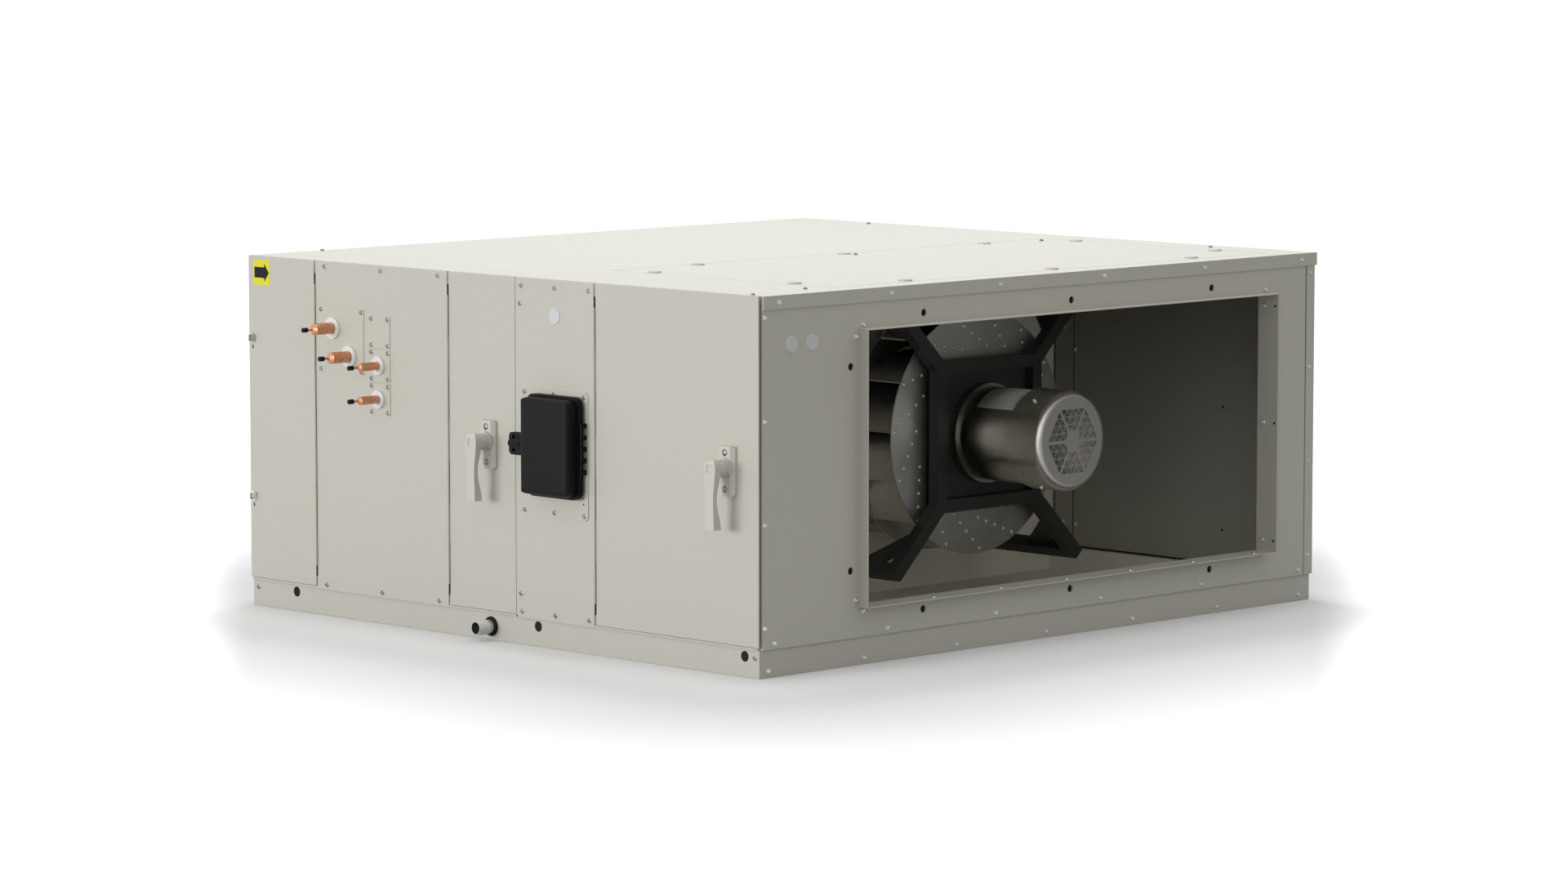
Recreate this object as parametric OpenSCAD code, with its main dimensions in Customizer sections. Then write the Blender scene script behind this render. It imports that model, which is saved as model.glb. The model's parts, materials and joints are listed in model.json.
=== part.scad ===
// Horizontal air handling unit: a sheet-metal cabinet on a base frame, with a plenum fan
// behind the open discharge end, hinged access doors and refrigerant stubs on the front.
// Frame: X along the airflow (discharge end at +X), Y across (access side at -Y), Z up.
// The origin is the centre of the footprint, on the floor. All sizes are in millimetres.

/* [Cabinet] */
// Length along the airflow, over the end panels
cabinet_l = 1416; // [1300:2:1600]
// Width across the airflow, from the door skins to the far panels
cabinet_w = 1534; // [1440:2:1700]
// Height from the floor to the roof
cabinet_h = 686; // [600:1:800]
// Thickness of the insulated panels
panel_t = 26; // [20:1:30]
// Thickness of folded sheet
sheet_t = 3; // [2:0.5:4]
// Height of the roof's folded edge
roof_lip = 25; // [20:1:40]

/* [Base] */
// Height of the base rails
base_h = 51; // [46:1:70]
// Width of the base rails
rail_w = 30; // [24:1:40]
// Set-back of the base under the panels
base_inset = 4; // [2:1:8]
// Diameter of the hanging holes in the rails
rail_hole_d = 20; // [12:1:24]
// Height of the hanging holes
rail_hole_z = 37.5; // [30:0.5:38]
// Distance of the outer hanging holes from the cabinet's ends
rail_hole_end = 134; // [80:1:200]
// Distance of the hole beside the discharge end from that end
rail_hole_outlet = 41; // [38:1:60]
// Distance of the middle hole from the centre line
rail_hole_mid = 120; // [60:1:200]

/* [Front] */
// Width of the filter door, from the inlet end to its seam
filter_door_w = 200; // [170:1:240]
// Width of the coil panel, seam to seam
coil_panel_w = 385; // [340:1:420]
// Width of the control door, seam to seam
control_door_w = 189; // [170:1:220]
// Width of the disconnect panel, seam to seam
disconnect_panel_w = 214; // [205:1:240]
// Width of a seam that holds a hinge
hinge_seam = 7; // [6:0.5:9]
// Clearance round a moving door
door_gap = 5; // [5:0.5:7]
// Thickness of a door's outer skin
skin_t = 3; // [2:0.5:4]
// Depth of a door's insulated core behind its skin
core_t = 25; // [15:1:30]
// Clearance of the core inside its opening
core_gap = 8; // [7:0.5:12]
// Width of the frame posts
post_w = 40; // [30:1:50]
// Height of the header over the doors
header_h = 28; // [20:1:40]
// Distance of a hinge axis in front of the skins
hinge_out = 2; // [2:0.5:4]
// Diameter of a hinge barrel
barrel_d = 5; // [4:0.5:6]
// Diameter of a hinge pin
pin_d = 2.4; // [2:0.1:2.8]
// Length of one hinge knuckle
knuckle_l = 75; // [50:1:120]

/* [Handles] */
// Height of the handle pivots above mid-height
handle_rise = 33; // [0:1:60]
// Distance of the fan door's handle from that door's free edge
fan_handle_in = 74; // [60:1:100]
// Distance of the control door's handle from that door's free edge
control_handle_in = 69; // [60:1:90]
// Width of a handle's plate
handle_plate_w = 39; // [34:1:50]
// Height of a handle's plate
handle_plate_h = 90; // [80:1:110]
// Thickness of a handle's plate
handle_plate_t = 12; // [8:1:16]
// Diameter of a handle's boss
handle_boss_d = 30; // [24:1:34]
// Reach of the lever's face from the skin
handle_out = 50; // [44:1:60]
// Length of the lever below its pivot
lever_l = 110; // [90:1:112]
// Width of the lever at its pivot
lever_w = 29; // [24:1:34]
// Width of the lever at its waist
lever_waist_w = 19; // [16:1:24]
// Width of the lever at its tip
lever_tip_w = 22; // [18:1:28]
// Thickness of the lever at its pivot
lever_t = 15; // [12:1:18]
// Thickness of the lever at its waist
lever_waist_t = 9; // [7:0.5:12]
// Thickness of the lever at its tip
lever_tip_t = 18; // [12:1:22]

/* [Disconnect] */
// Width of the backing plate
backplate_w = 180; // [176:1:190]
// Height of the backing plate
backplate_h = 238; // [230:1:270]
// Thickness of the backing plate
backplate_t = 2; // [1.5:0.5:3]
// Width of the switch cover
cover_w = 142; // [130:1:146]
// Height of the switch cover
cover_h = 190; // [170:1:200]
// Depth of the switch cover
cover_d = 36; // [30:1:40]
// Wall of the switch cover
cover_wall = 3; // [2:0.5:4]
// Corner radius of the switch cover
cover_r = 18; // [12:1:24]
// Radius of the switch cover's front edges
cover_edge_r = 11; // [6:0.5:14]
// Width of the rim round the switch cover
cover_rim = 5; // [3:0.5:8]
// Depth of that rim
cover_rim_d = 11; // [8:0.5:14]
// Distance of the cover's hinge edge from the panel's seam
cover_edge_in = 24; // [22:1:32]
// Height of the cover's middle above mid-height
cover_rise = 37; // [0:1:60]
// Distance of the backing plate from the panel's seam
backplate_edge_in = 17; // [14:1:22]
// Height of the backing plate's middle above mid-height
backplate_rise = 22; // [0:1:40]
// Corner radius of the backing plate
backplate_r = 10; // [4:1:16]

/* [Discharge] */
// Distance of the discharge opening from the roof
outlet_top = 74; // [60:1:100]
// Height of the opening's lower edge
outlet_low = 108; // [90:1:130]
// Distance of the opening from the access side
outlet_near = 254; // [230:1:300]
// Distance of the opening from the far side
outlet_far = 139; // [110:1:180]
// Reach of the duct collar in front of the panel
collar_out = 25; // [15:1:40]
// Thickness of the duct collar
collar_t = 2; // [1.5:0.5:3]
// Diameter of the duct bolt holes
duct_hole_d = 14; // [8:1:16]
// Spacing of the bolt holes along the top and bottom
duct_hole_pitch = 401; // [300:1:450]
// Distance of the bolt holes from the opening's edge
duct_hole_off = 21; // [14:1:24]
// Spacing of the bolt holes along the sides
duct_hole_side = 372; // [300:1:420]

/* [Fan] */
// Distance of the fan's axis from the far side
fan_far = 529; // [510:1:560]
// Distance of the fan's axis below mid-height
fan_drop = 2; // [0:1:6]
// Distance of the fan wall from the cabinet's middle
fan_wall_x = 40; // [20:1:60]
// Distance of the wheel's back plate from the fan wall
wheel_reach = 256; // [250:1:270]
// Diameter of the fan wheel
wheel_d = 480; // [440:1:500]
// Width of the wheel at its rim
wheel_rim_w = 115; // [100:1:130]
// Inner diameter of the wheel's eye
eye_d = 320; // [300:1:330]
// Depth of the shroud from the rim to the eye
shroud_d = 65; // [55:1:75]
// Length of the eye's straight lip
eye_lip = 10; // [6:1:16]
// Thickness of the wheel's sheet
wheel_t = 3; // [2:0.5:4]
// Number of blades
blade_count = 15; // [9:1:18]
// Lean of the blades away from the radius
blade_lean = 58; // [45:1:62]
// Diameter of the hub
hub_d = 84; // [70:1:100]
// Length of the hub
hub_l = 55; // [40:1:70]
// Diameter of the motor shaft
shaft_d = 28; // [22:1:32]
// Running clearance between the eye and the inlet cone
cone_gap = 7; // [5:0.5:10]

/* [Motor] */
// Outer size of the square motor frame
frame_size = 294; // [270:1:320]
// Section of the motor frame's bars
frame_bar = 25; // [20:1:30]
// Clearance between the wheel and the motor frame
frame_gap = 12; // [8:1:20]
// Offset of the frame's feet from the axis, both ways
foot_off = 252; // [245:1:258]
// Thickness of the motor plate and the gussets
mount_plate_t = 5; // [4:0.5:8]
// Diameter of the motor
motor_d = 182; // [160:1:200]
// Length of the motor in front of its plate, with its cowl
motor_l = 236; // [200:1:250]
// Diameter of the motor cowl
cowl_d = 195; // [188:1:210]
// Length of the motor cowl
cowl_l = 84; // [60:1:100]
// Radius of the cowl's edge
cowl_r = 14; // [8:1:20]
// Width across the cowl's grille, corner to corner
grille_d = 144; // [120:1:150]
// Width of the grille's bars
grille_bar = 1.7; // [1.2:0.1:2.4]
// Rows of holes in each sector of the grille
grille_rows = 3; // [2:1:5]
// Width of the spokes between the grille's sectors, beyond a bar
grille_spoke = 4.5; // [2:0.5:8]

/* [Coil connections] */
// Diameter of the suction stubs
suction_d = 22.2; // [15.9:0.1:28.6]
// Distance of the first suction stub from the coil panel's seam
suction_in = 55; // [45:1:70]
// Distance of the first suction stub from the roof
suction_top = 126.5; // [110:0.5:150]
// Sideways step to the second suction stub
suction_step = 48; // [44:1:60]
// Drop to the second suction stub
suction_drop = 52; // [44:1:60]
// Diameter of the liquid stubs
liquid_d = 15.9; // [9.5:0.1:19.1]
// Distance of the liquid stubs from the coil panel's other seam
liquid_in = 197; // [180:1:210]
// Distance of the first liquid stub from the roof
liquid_top = 190.5; // [180:0.5:210]
// Distance between the liquid stubs
liquid_drop = 64; // [62:1:70]
// Length of a stub in front of the skin
stub_l = 50; // [40:1:60]
// Length of a stub's crimped tip
stub_tip_l = 26; // [18:1:34]
// Diameter of a stub's crimped tip
stub_tip_d = 5; // [4:0.5:8]
// Width of the sealing rings round the stubs
ring_w = 9.5; // [7:0.5:12]
// Outer diameter of the drain stub
drain_d = 26.7; // [21.3:0.1:33.4]
// Reach of the drain stub in front of the base
drain_l = 40; // [25:1:60]
// Place of the drain stub along the cabinet
drain_x = -10; // [-60:1:60]

/* [Hidden] */
$fn = 64;

paint = [0.76, 0.755, 0.72];
black = [0.07, 0.07, 0.075];
steel = [0.62, 0.62, 0.60];
copper = [0.78, 0.47, 0.33];

// Outer faces of the cabinet and the planes behind them
hx = cabinet_l / 2;
hy = cabinet_w / 2;
mid_z = cabinet_h / 2;
front_y = -hy;
skin_back = front_y + skin_t;
post_y = skin_back + door_gap;
post_back = post_y + post_w;
panel_top = cabinet_h - sheet_t;
ceiling = panel_top - panel_t;
header_z = panel_top - header_h;
wall_x = hx - panel_t;
wall_y = hy - panel_t;
rail_x = hx - base_inset;
rail_y = hy - base_inset;
pan_x = rail_x - rail_w;
pan_y = rail_y - rail_w;
well_x = pan_x - sheet_t;
well_y = pan_y - sheet_t;

// Seams of the front, from the inlet end
seam_filter = -hx + filter_door_w;
seam_control = seam_filter + coil_panel_w;
seam_latch = seam_control + control_door_w;
seam_fan = seam_latch + disconnect_panel_w;
hinge_y = front_y - hinge_out;
post_xs = [
  -wall_x + post_w / 2, seam_filter, seam_control, seam_latch, seam_fan, wall_x - post_w / 2
];
door_z0 = base_h + door_gap;
core_z0 = base_h + core_gap;
core_z1 = header_z - core_gap;
edge_back = 2;
end_edge = hx - edge_back;

// Discharge opening and the return opening at the other end
outlet_w = cabinet_w - outlet_near - outlet_far;
outlet_h = cabinet_h - outlet_top - outlet_low;
outlet_y = (outlet_near - outlet_far) / 2;
outlet_z = (cabinet_h - outlet_top + outlet_low) / 2;
inlet_side = 141.5;
inlet_w = cabinet_w - 2 * inlet_side;

// Places along the fan's axis, from the fan wall to the motor's end
fan_y = hy - fan_far;
fan_z = mid_z - fan_drop;
wheel_back_x = fan_wall_x + wheel_reach;
rim_x = wheel_back_x - wheel_t - wheel_rim_w;
eye_x = rim_x - shroud_d;
wheel_r = wheel_d / 2;
eye_r = eye_d / 2;
cone_r = eye_r - wheel_t - cone_gap;
frame_x0 = wheel_back_x + frame_gap;
motor_x0 = frame_x0 + mount_plate_t;
cowl_x0 = motor_x0 + motor_l - cowl_l;
foot_r = foot_off * sqrt(2);

// Stubs, and the coil behind them, from the seams that bound the coil panel
suction_at = [for (k = [0, 1])
  [seam_filter + suction_in + k * suction_step, cabinet_h - suction_top - k * suction_drop]];
liquid_at = [for (k = [0, 1])
  [seam_control - liquid_in, cabinet_h - liquid_top - k * liquid_drop]];
coil_in = 75;
coil_out = 150;
coil_side = 77;
coil_head = 25;
coil_y = front_y + coil_side;

// Disconnect switch on its panel
cover_x1 = seam_fan - cover_edge_in;
cover_x = cover_x1 - cover_w / 2;
cover_z = mid_z + cover_rise;
backplate_x = seam_fan - backplate_edge_in - backplate_w / 2;
backplate_y = front_y - backplate_t;
cover_y = backplate_y - door_gap;
cover_hinge_in = 8;
cover_hinge_x = cover_x1 + 3;
cover_hinge_y = cover_y - cover_hinge_in;

// Handles
handle_z = mid_z + handle_rise;
fan_handle_x = end_edge - fan_handle_in;
control_handle_x = seam_latch - door_gap / 2 - control_handle_in;

// Box between two corners
module block(a, b) {
  translate(a) cube(b - a);
}

// Plate with rounded corners, centred on the origin, from z = 0 up
module round_plate(w, h, t, r) {
  translate([-w / 2 + r, -h / 2, 0]) cube([w - 2 * r, h, t]);
  translate([-w / 2, -h / 2 + r, 0]) cube([w, h - 2 * r, t]);
  for (x = [-1, 1], y = [-1, 1])
    translate([x * (w / 2 - r), y * (h / 2 - r), 0]) cylinder(r = r, h = t);
}

// Turns what stands on z = 0 so that it stands out of the front face at (x, z)
module on_front(x, z, y = front_y) {
  translate([x, y, z]) rotate([90, 0, 0]) children();
}

// Turns what stands on z = 0 so that it lies along +X from the fan's axis
module on_axis(x) {
  translate([x, fan_y, fan_z]) rotate([90, 0, 90]) children();
}

// Base: a ring of channel round a sunken pan
module rail_hole(x, y) {
  translate([x, y - sheet_t - 1, rail_hole_z]) rotate([-90, 0, 0])
    cylinder(d = rail_hole_d, h = 2 * sheet_t + 2);
}
module base_rails() color(paint) difference() {
  block([-rail_x, -rail_y, 0], [rail_x, rail_y, base_h]);
  block([-pan_x, -pan_y, -1], [pan_x, pan_y, base_h + 1]);
  block([-rail_x + sheet_t, -rail_y + sheet_t, sheet_t],
        [rail_x - sheet_t, rail_y - sheet_t, base_h - sheet_t]);
  for (x = [-hx + rail_hole_end, rail_hole_mid, hx - rail_hole_outlet], y = [-rail_y, rail_y])
    rail_hole(x, y);
  translate([drain_x, -rail_y - 1, base_h / 2]) rotate([-90, 0, 0])
    cylinder(d = drain_d, h = sheet_t + 2);
}
// Pan: a tray between the rails
module base_pan() color(paint) difference() {
  block([-pan_x, -pan_y, 0], [pan_x, pan_y, base_h]);
  block([-well_x, -well_y, sheet_t], [well_x, well_y, base_h + 1]);
}

// Roof: an insulated panel with a sheet that folds down over the ends and the far side
roof_cover_wall = 33;
roof_cover_end = 53;
roof_cover_near = 237;
roof_cover_far = 91;
roof_cover_gap = 2;
roof_cover_t = 1.5;
roof_cover_a = [fan_wall_x + roof_cover_wall, front_y + roof_cover_near, cabinet_h - roof_cover_t];
roof_cover_b = [hx - roof_cover_end, hy - roof_cover_far, cabinet_h];
module roof() color(paint) difference() {
  union() {
    block([-hx - sheet_t, post_y, panel_top], [hx + sheet_t, hy + sheet_t, cabinet_h]);
    block([-wall_x, post_back, ceiling], [wall_x, wall_y, panel_top]);
    for (x = [-hx - sheet_t, hx])
      block([x, post_y, cabinet_h - roof_lip], [x + sheet_t, hy + sheet_t, panel_top]);
    block([-hx, hy, cabinet_h - roof_lip], [hx, hy + sheet_t, panel_top]);
  }
  block(roof_cover_a - [roof_cover_gap, roof_cover_gap, 0],
        roof_cover_b + [roof_cover_gap, roof_cover_gap, 1]);
}
module roof_cover() color(paint) block(roof_cover_a, roof_cover_b);

// Far side: three insulated panels, split where the front has its sections
panel_seam = 1.5;
module far_panel(x0, x1) block([x0, wall_y, base_h], [x1, hy, panel_top]);
module far_panels() color(paint) {
  far_panel(-hx, seam_filter - panel_seam / 2);
  far_panel(seam_filter + panel_seam / 2, fan_wall_x - panel_seam / 2);
  far_panel(fan_wall_x + panel_seam / 2, hx);
}

// End panels with a duct opening, and the collars that line the openings
module end_panel(opening_y, opening_w) difference() {
  block([wall_x, post_y, base_h], [hx, wall_y - panel_seam, panel_top]);
  translate([wall_x - 1, opening_y - opening_w / 2 - collar_t, outlet_z - outlet_h / 2 - collar_t])
    cube([panel_t + 2, opening_w + 2 * collar_t, outlet_h + 2 * collar_t]);
}
module end_collar(opening_y, opening_w) difference() {
  translate([wall_x, opening_y - opening_w / 2 - collar_t, outlet_z - outlet_h / 2 - collar_t])
    cube([panel_t + collar_out, opening_w + 2 * collar_t, outlet_h + 2 * collar_t]);
  translate([wall_x - 1, opening_y - opening_w / 2, outlet_z - outlet_h / 2])
    cube([panel_t + collar_out + 2, opening_w, outlet_h]);
}
module duct_hole(y, z) {
  translate([wall_x - 1, y, z]) rotate([0, 90, 0]) cylinder(d = duct_hole_d, h = panel_t + 2);
}
module discharge_panel() color(paint) difference() {
  end_panel(outlet_y, outlet_w);
  for (i = [-1:1], s = [-1, 1])
    duct_hole(outlet_y + i * duct_hole_pitch, outlet_z + s * (outlet_h / 2 + duct_hole_off));
  for (k = [-1, 1], s = [-1, 1])
    duct_hole(outlet_y + s * (outlet_w / 2 + duct_hole_off), outlet_z + k * duct_hole_side / 2);
}
module discharge_collar() color(paint) end_collar(outlet_y, outlet_w);
module inlet_panel() color(paint) mirror([1, 0, 0]) {
  end_panel(0, inlet_w);
  end_collar(0, inlet_w);
}

// Frame behind the front: uprights at the seams and a header over them
module front_posts() color(paint) for (x = post_xs) difference() {
  block([x - post_w / 2, post_y, base_h], [x + post_w / 2, post_back, header_z]);
  block([x - post_w / 2 + sheet_t, post_y + sheet_t, base_h - 1],
        [x + post_w / 2 - sheet_t, post_back - sheet_t, header_z + 1]);
}
module front_header() color(paint)
  block([-wall_x, post_y, header_z], [wall_x, post_back, panel_top]);

// Hinges: barrels of the frame and of the door take turns on one pin
hinge_end = 44;
hinge_z0 = base_h + hinge_end;
hinge_z1 = cabinet_h - hinge_end;
knuckles = floor((hinge_z1 - hinge_z0) / knuckle_l);
knuckle_gap = 0.6;
leaf_t = 1.5;
pin_gap = 0.3;
module barrels(z0, z1, count, first) {
  pitch = (z1 - z0) / count;
  for (k = [first:2:count - 1]) translate([0, 0, z0 + k * pitch + knuckle_gap])
    cylinder(d = barrel_d, h = pitch - 2 * knuckle_gap);
}
module leaves(z0, z1, count, first, a, b) {
  pitch = (z1 - z0) / count;
  for (k = [first:2:count - 1]) translate([0, 0, z0 + k * pitch + knuckle_gap])
    block([min(a[0], b[0]), a[1], 0], [max(a[0], b[0]), b[1], pitch - 2 * knuckle_gap]);
}
// Frame half of a door hinge: its leaves stand on the post
module frame_hinge(x, side) translate([x, hinge_y, 0]) {
  barrels(hinge_z0, hinge_z1, knuckles, 0);
  leaves(hinge_z0, hinge_z1, knuckles, 0, [0, 0], [-side * leaf_t, post_y - hinge_y]);
  translate([0, 0, hinge_z0]) cylinder(d = pin_d, h = hinge_z1 - hinge_z0);
}
// Door half: its leaves reach the door's skin
module door_hinge(x, side) translate([x, hinge_y, 0]) difference() {
  union() {
    barrels(hinge_z0, hinge_z1, knuckles, 1);
    leaves(hinge_z0, hinge_z1, knuckles, 1,
           [0, hinge_out], [side * hinge_seam / 2, hinge_out + leaf_t]);
  }
  cylinder(d = pin_d + 2 * pin_gap, h = cabinet_h);
}
module door_hinges() color(paint) {
  frame_hinge(seam_filter, -1);
  frame_hinge(seam_control, 1);
  frame_hinge(seam_fan, 1);
}

// Door or fixed panel: a skin that laps over the posts and a core that fills the opening
module front_leaf(x0, x1, z0, core0, core1) {
  block([x0, front_y, z0], [x1, skin_back, cabinet_h]);
  block([core0, skin_back, core_z0], [core1, skin_back + core_t, core_z1]);
}
fixed_lap = post_w / 2;
stub_clear = 1;
module coil_panel() color(paint) difference() {
  union() {
    block([seam_filter + hinge_seam / 2, front_y, base_h],
          [seam_control - hinge_seam / 2, skin_back, cabinet_h]);
    block([seam_filter + fixed_lap, skin_back, base_h],
          [seam_control - fixed_lap, skin_back + core_t, header_z]);
    for (x = [seam_filter + hinge_seam / 2, seam_control - fixed_lap])
      block([x, skin_back, base_h],
            [x + fixed_lap - hinge_seam / 2, post_y, header_z]);
  }
  for (p = suction_at) translate([p[0], front_y - 1, p[1]]) rotate([-90, 0, 0])
    cylinder(d = suction_d + 2 * stub_clear, h = core_t + skin_t + 2);
  for (p = liquid_at) translate([p[0], front_y - 1, p[1]]) rotate([-90, 0, 0])
    cylinder(d = liquid_d + 2 * stub_clear, h = core_t + skin_t + 2);
}
module disconnect_panel() color(paint) {
  block([seam_latch + door_gap / 2, front_y, base_h],
        [seam_fan - hinge_seam / 2, skin_back, cabinet_h]);
  block([seam_latch + fixed_lap, skin_back, base_h],
        [seam_fan - fixed_lap, skin_back + core_t, header_z]);
  for (x = [seam_latch + door_gap / 2, seam_fan - fixed_lap])
    block([x, skin_back, base_h],
          [x + fixed_lap - (x < seam_fan - fixed_lap ? door_gap : hinge_seam) / 2, post_y, header_z]);
}

// Refrigerant stubs, their plates and rings, and the drain
plate_t = 1.5;
suction_plate_side = 41;
suction_plate_head = 40.5;
suction_plate_foot = 34;
liquid_plate_w = 64;
liquid_plate_gap = 2;
liquid_plates = 3;
module pipe_plate(a, b, holes, d) difference() {
  block([a[0], front_y - plate_t, a[1]], [b[0], front_y, b[1]]);
  for (p = holes) translate([p[0], front_y - plate_t - 1, p[1]]) rotate([-90, 0, 0])
    cylinder(d = d + 2 * stub_clear, h = plate_t + 2);
}
module pipe_plates() color(paint) {
  pipe_plate([suction_at[0][0] - suction_plate_side, suction_at[1][1] - suction_plate_foot],
             [suction_at[1][0] + suction_plate_side, suction_at[0][1] + suction_plate_head],
             suction_at, suction_d);
  for (k = [0:liquid_plates - 1]) {
    z = liquid_at[1][1] + k * liquid_drop;
    half = [liquid_plate_w / 2, (liquid_drop - liquid_plate_gap) / 2];
    pipe_plate([liquid_at[0][0] - half[0], z - half[1]], [liquid_at[0][0] + half[0], z + half[1]],
               liquid_at, liquid_d);
  }
}
ring_t = 5;
ring_gap = 0.2;
stub_neck = 1;
neck_end = plate_t + ring_t + 1;
// Stub: a tube with a slimmer root up to its sealing ring, closed by a cone and a crimped tip
module stub(p, d) on_front(p[0], p[1], coil_y) {
  reach = coil_side + stub_l;
  cylinder(d = d - stub_neck, h = reach);
  translate([0, 0, coil_side + neck_end]) cylinder(d = d, h = stub_l - neck_end);
  translate([0, 0, reach]) cylinder(d1 = d, d2 = stub_tip_d, h = d / 4);
  translate([0, 0, reach]) cylinder(d = stub_tip_d, h = stub_tip_l);
}
module refrigerant_stubs() color(copper) {
  for (p = suction_at) stub(p, suction_d);
  for (p = liquid_at) stub(p, liquid_d);
}
cap_l = 9;
cap_wall = 2.2;
cap_end = 1.2;
module stub_caps() color(black) for (p = concat(suction_at, liquid_at))
  on_front(p[0], p[1], front_y - stub_l - stub_tip_l) translate([0, 0, -cap_l]) difference() {
    cylinder(d = stub_tip_d + 2 * cap_wall, h = cap_l + cap_end);
    translate([0, 0, -1]) cylinder(d = stub_tip_d, h = cap_l + 1);
  }
module pipe_ring(p, d) on_front(p[0], p[1], front_y - plate_t) difference() {
  cylinder(d = d + 2 * ring_w, h = ring_t);
  translate([0, 0, -1]) cylinder(d = d - stub_neck + 2 * ring_gap, h = ring_t + 2);
}
module pipe_rings() color("white") {
  for (p = suction_at) pipe_ring(p, suction_d);
  for (p = liquid_at) pipe_ring(p, liquid_d);
}
drain_pan_in = 40;
drain_pan_wall = 12;
drain_pan_h = 40;
drain_neck = 2;
drain_wall = 1.2;
module drain_pan() color(steel) difference() {
  a = [seam_filter + drain_pan_in, -well_y, sheet_t];
  b = [fan_wall_x - drain_pan_wall, well_y, drain_pan_h];
  block(a, b);
  block(a + [sheet_t, sheet_t, sheet_t], b + [-sheet_t, -sheet_t, 1]);
}
module drain_stub() color(steel) on_front(drain_x, base_h / 2, -pan_y) difference() {
  union() {
    cylinder(d = drain_d - drain_neck, h = rail_w + drain_l);
    translate([0, 0, rail_w + drain_neck]) cylinder(d = drain_d, h = drain_l - drain_neck);
  }
  translate([0, 0, drain_wall])
    cylinder(d = drain_d - drain_neck - 2 * drain_wall, h = rail_w + drain_l);
}

// Plugs in unused cable holes of the discharge panel and the disconnect panel
plug_d = 31;
plug_t = 2;
plug_taper = 3;
plug_near = [82, 134];
plug_top = 89.5;
panel_plug_top = 66.5;
module plug() cylinder(d1 = plug_d, d2 = plug_d - plug_taper, h = plug_t);
module hole_plugs() color([0.8, 0.8, 0.8]) {
  for (y = plug_near) translate([hx, front_y + y, cabinet_h - plug_top]) rotate([0, 90, 0]) plug();
  on_front((seam_latch + seam_fan) / 2, cabinet_h - panel_plug_top) plug();
}

// Sections inside: the control compartment, the filters and the coil
box_depth = 180;
module control_box() color(paint) difference() {
  block([seam_control - post_w / 2, post_back, base_h],
        [seam_fan + post_w / 2, post_back + box_depth, header_z]);
  block([seam_control - post_w / 2 + sheet_t, post_back - 1, base_h + sheet_t],
        [seam_fan + post_w / 2 - sheet_t, post_back + box_depth - sheet_t, header_z - sheet_t]);
}
module cooling_coil() color(steel)
  block([seam_filter + coil_in, coil_y, 2 * sheet_t],
        [seam_control - coil_out, -coil_y, ceiling - coil_head]);
filter_in = 84;
filter_sill = 14;
filter_head = 18;
filter_t = 50;
filter_gap = 4;
filter_count = 3;
track_lip = 20;
filter_x = seam_filter - filter_in;
filter_z0 = base_h + filter_sill;
filter_z1 = header_z - filter_head;
// Track: a channel along the filters' edges, on a web; up is 1 for the lower track
module filter_track(z, up, web_end, y1) {
  half = filter_t / 2;
  difference() {
    block([filter_x - half - sheet_t, post_back, min(z - up * sheet_t, z + up * track_lip)],
          [filter_x + half + sheet_t, y1, max(z - up * sheet_t, z + up * track_lip)]);
    block([filter_x - half, post_back - 1, min(z, z + up * (track_lip + 1))],
          [filter_x + half, y1 + 1, max(z, z + up * (track_lip + 1))]);
  }
  block([filter_x - sheet_t / 2, post_back, min(z - up * sheet_t, web_end)],
        [filter_x + sheet_t / 2, y1, max(z - up * sheet_t, web_end)]);
}
module filter_tracks() color(steel) {
  filter_track(filter_z0, 1, sheet_t, well_y);
  filter_track(filter_z1, -1, ceiling, wall_y);
}
// Pleated filters: each is a card frame round a zig-zag sheet
filter_edge = 14;
pleats = 16;
pleat_t = 3;
filter_space = 1;
module filters() color([0.85, 0.84, 0.8]) {
  y0 = post_back + filter_gap;
  pitch = (pan_y - filter_gap - y0) / filter_count;
  w = pitch - filter_space;
  h = filter_z1 - filter_z0;
  step = (w - 2 * filter_edge) / pleats / 2;
  depth = filter_t / 2 - filter_gap;
  for (i = [0:filter_count - 1]) translate([filter_x, y0 + i * pitch, filter_z0]) {
    difference() {
      block([-filter_t / 2, 0, 0], [filter_t / 2, w, h]);
      block([-filter_t / 2 - 1, filter_edge, filter_edge],
            [filter_t / 2 + 1, w - filter_edge, h - filter_edge]);
    }
    translate([0, filter_edge, filter_edge]) linear_extrude(h - 2 * filter_edge)
      polygon(concat(
        [for (k = [0:2 * pleats]) [(k % 2 == 0 ? -1 : 1) * depth - pleat_t / 2, k * step]],
        [for (k = [2 * pleats:-1:0]) [(k % 2 == 0 ? -1 : 1) * depth + pleat_t / 2, k * step]]
      ));
  }
}

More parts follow.
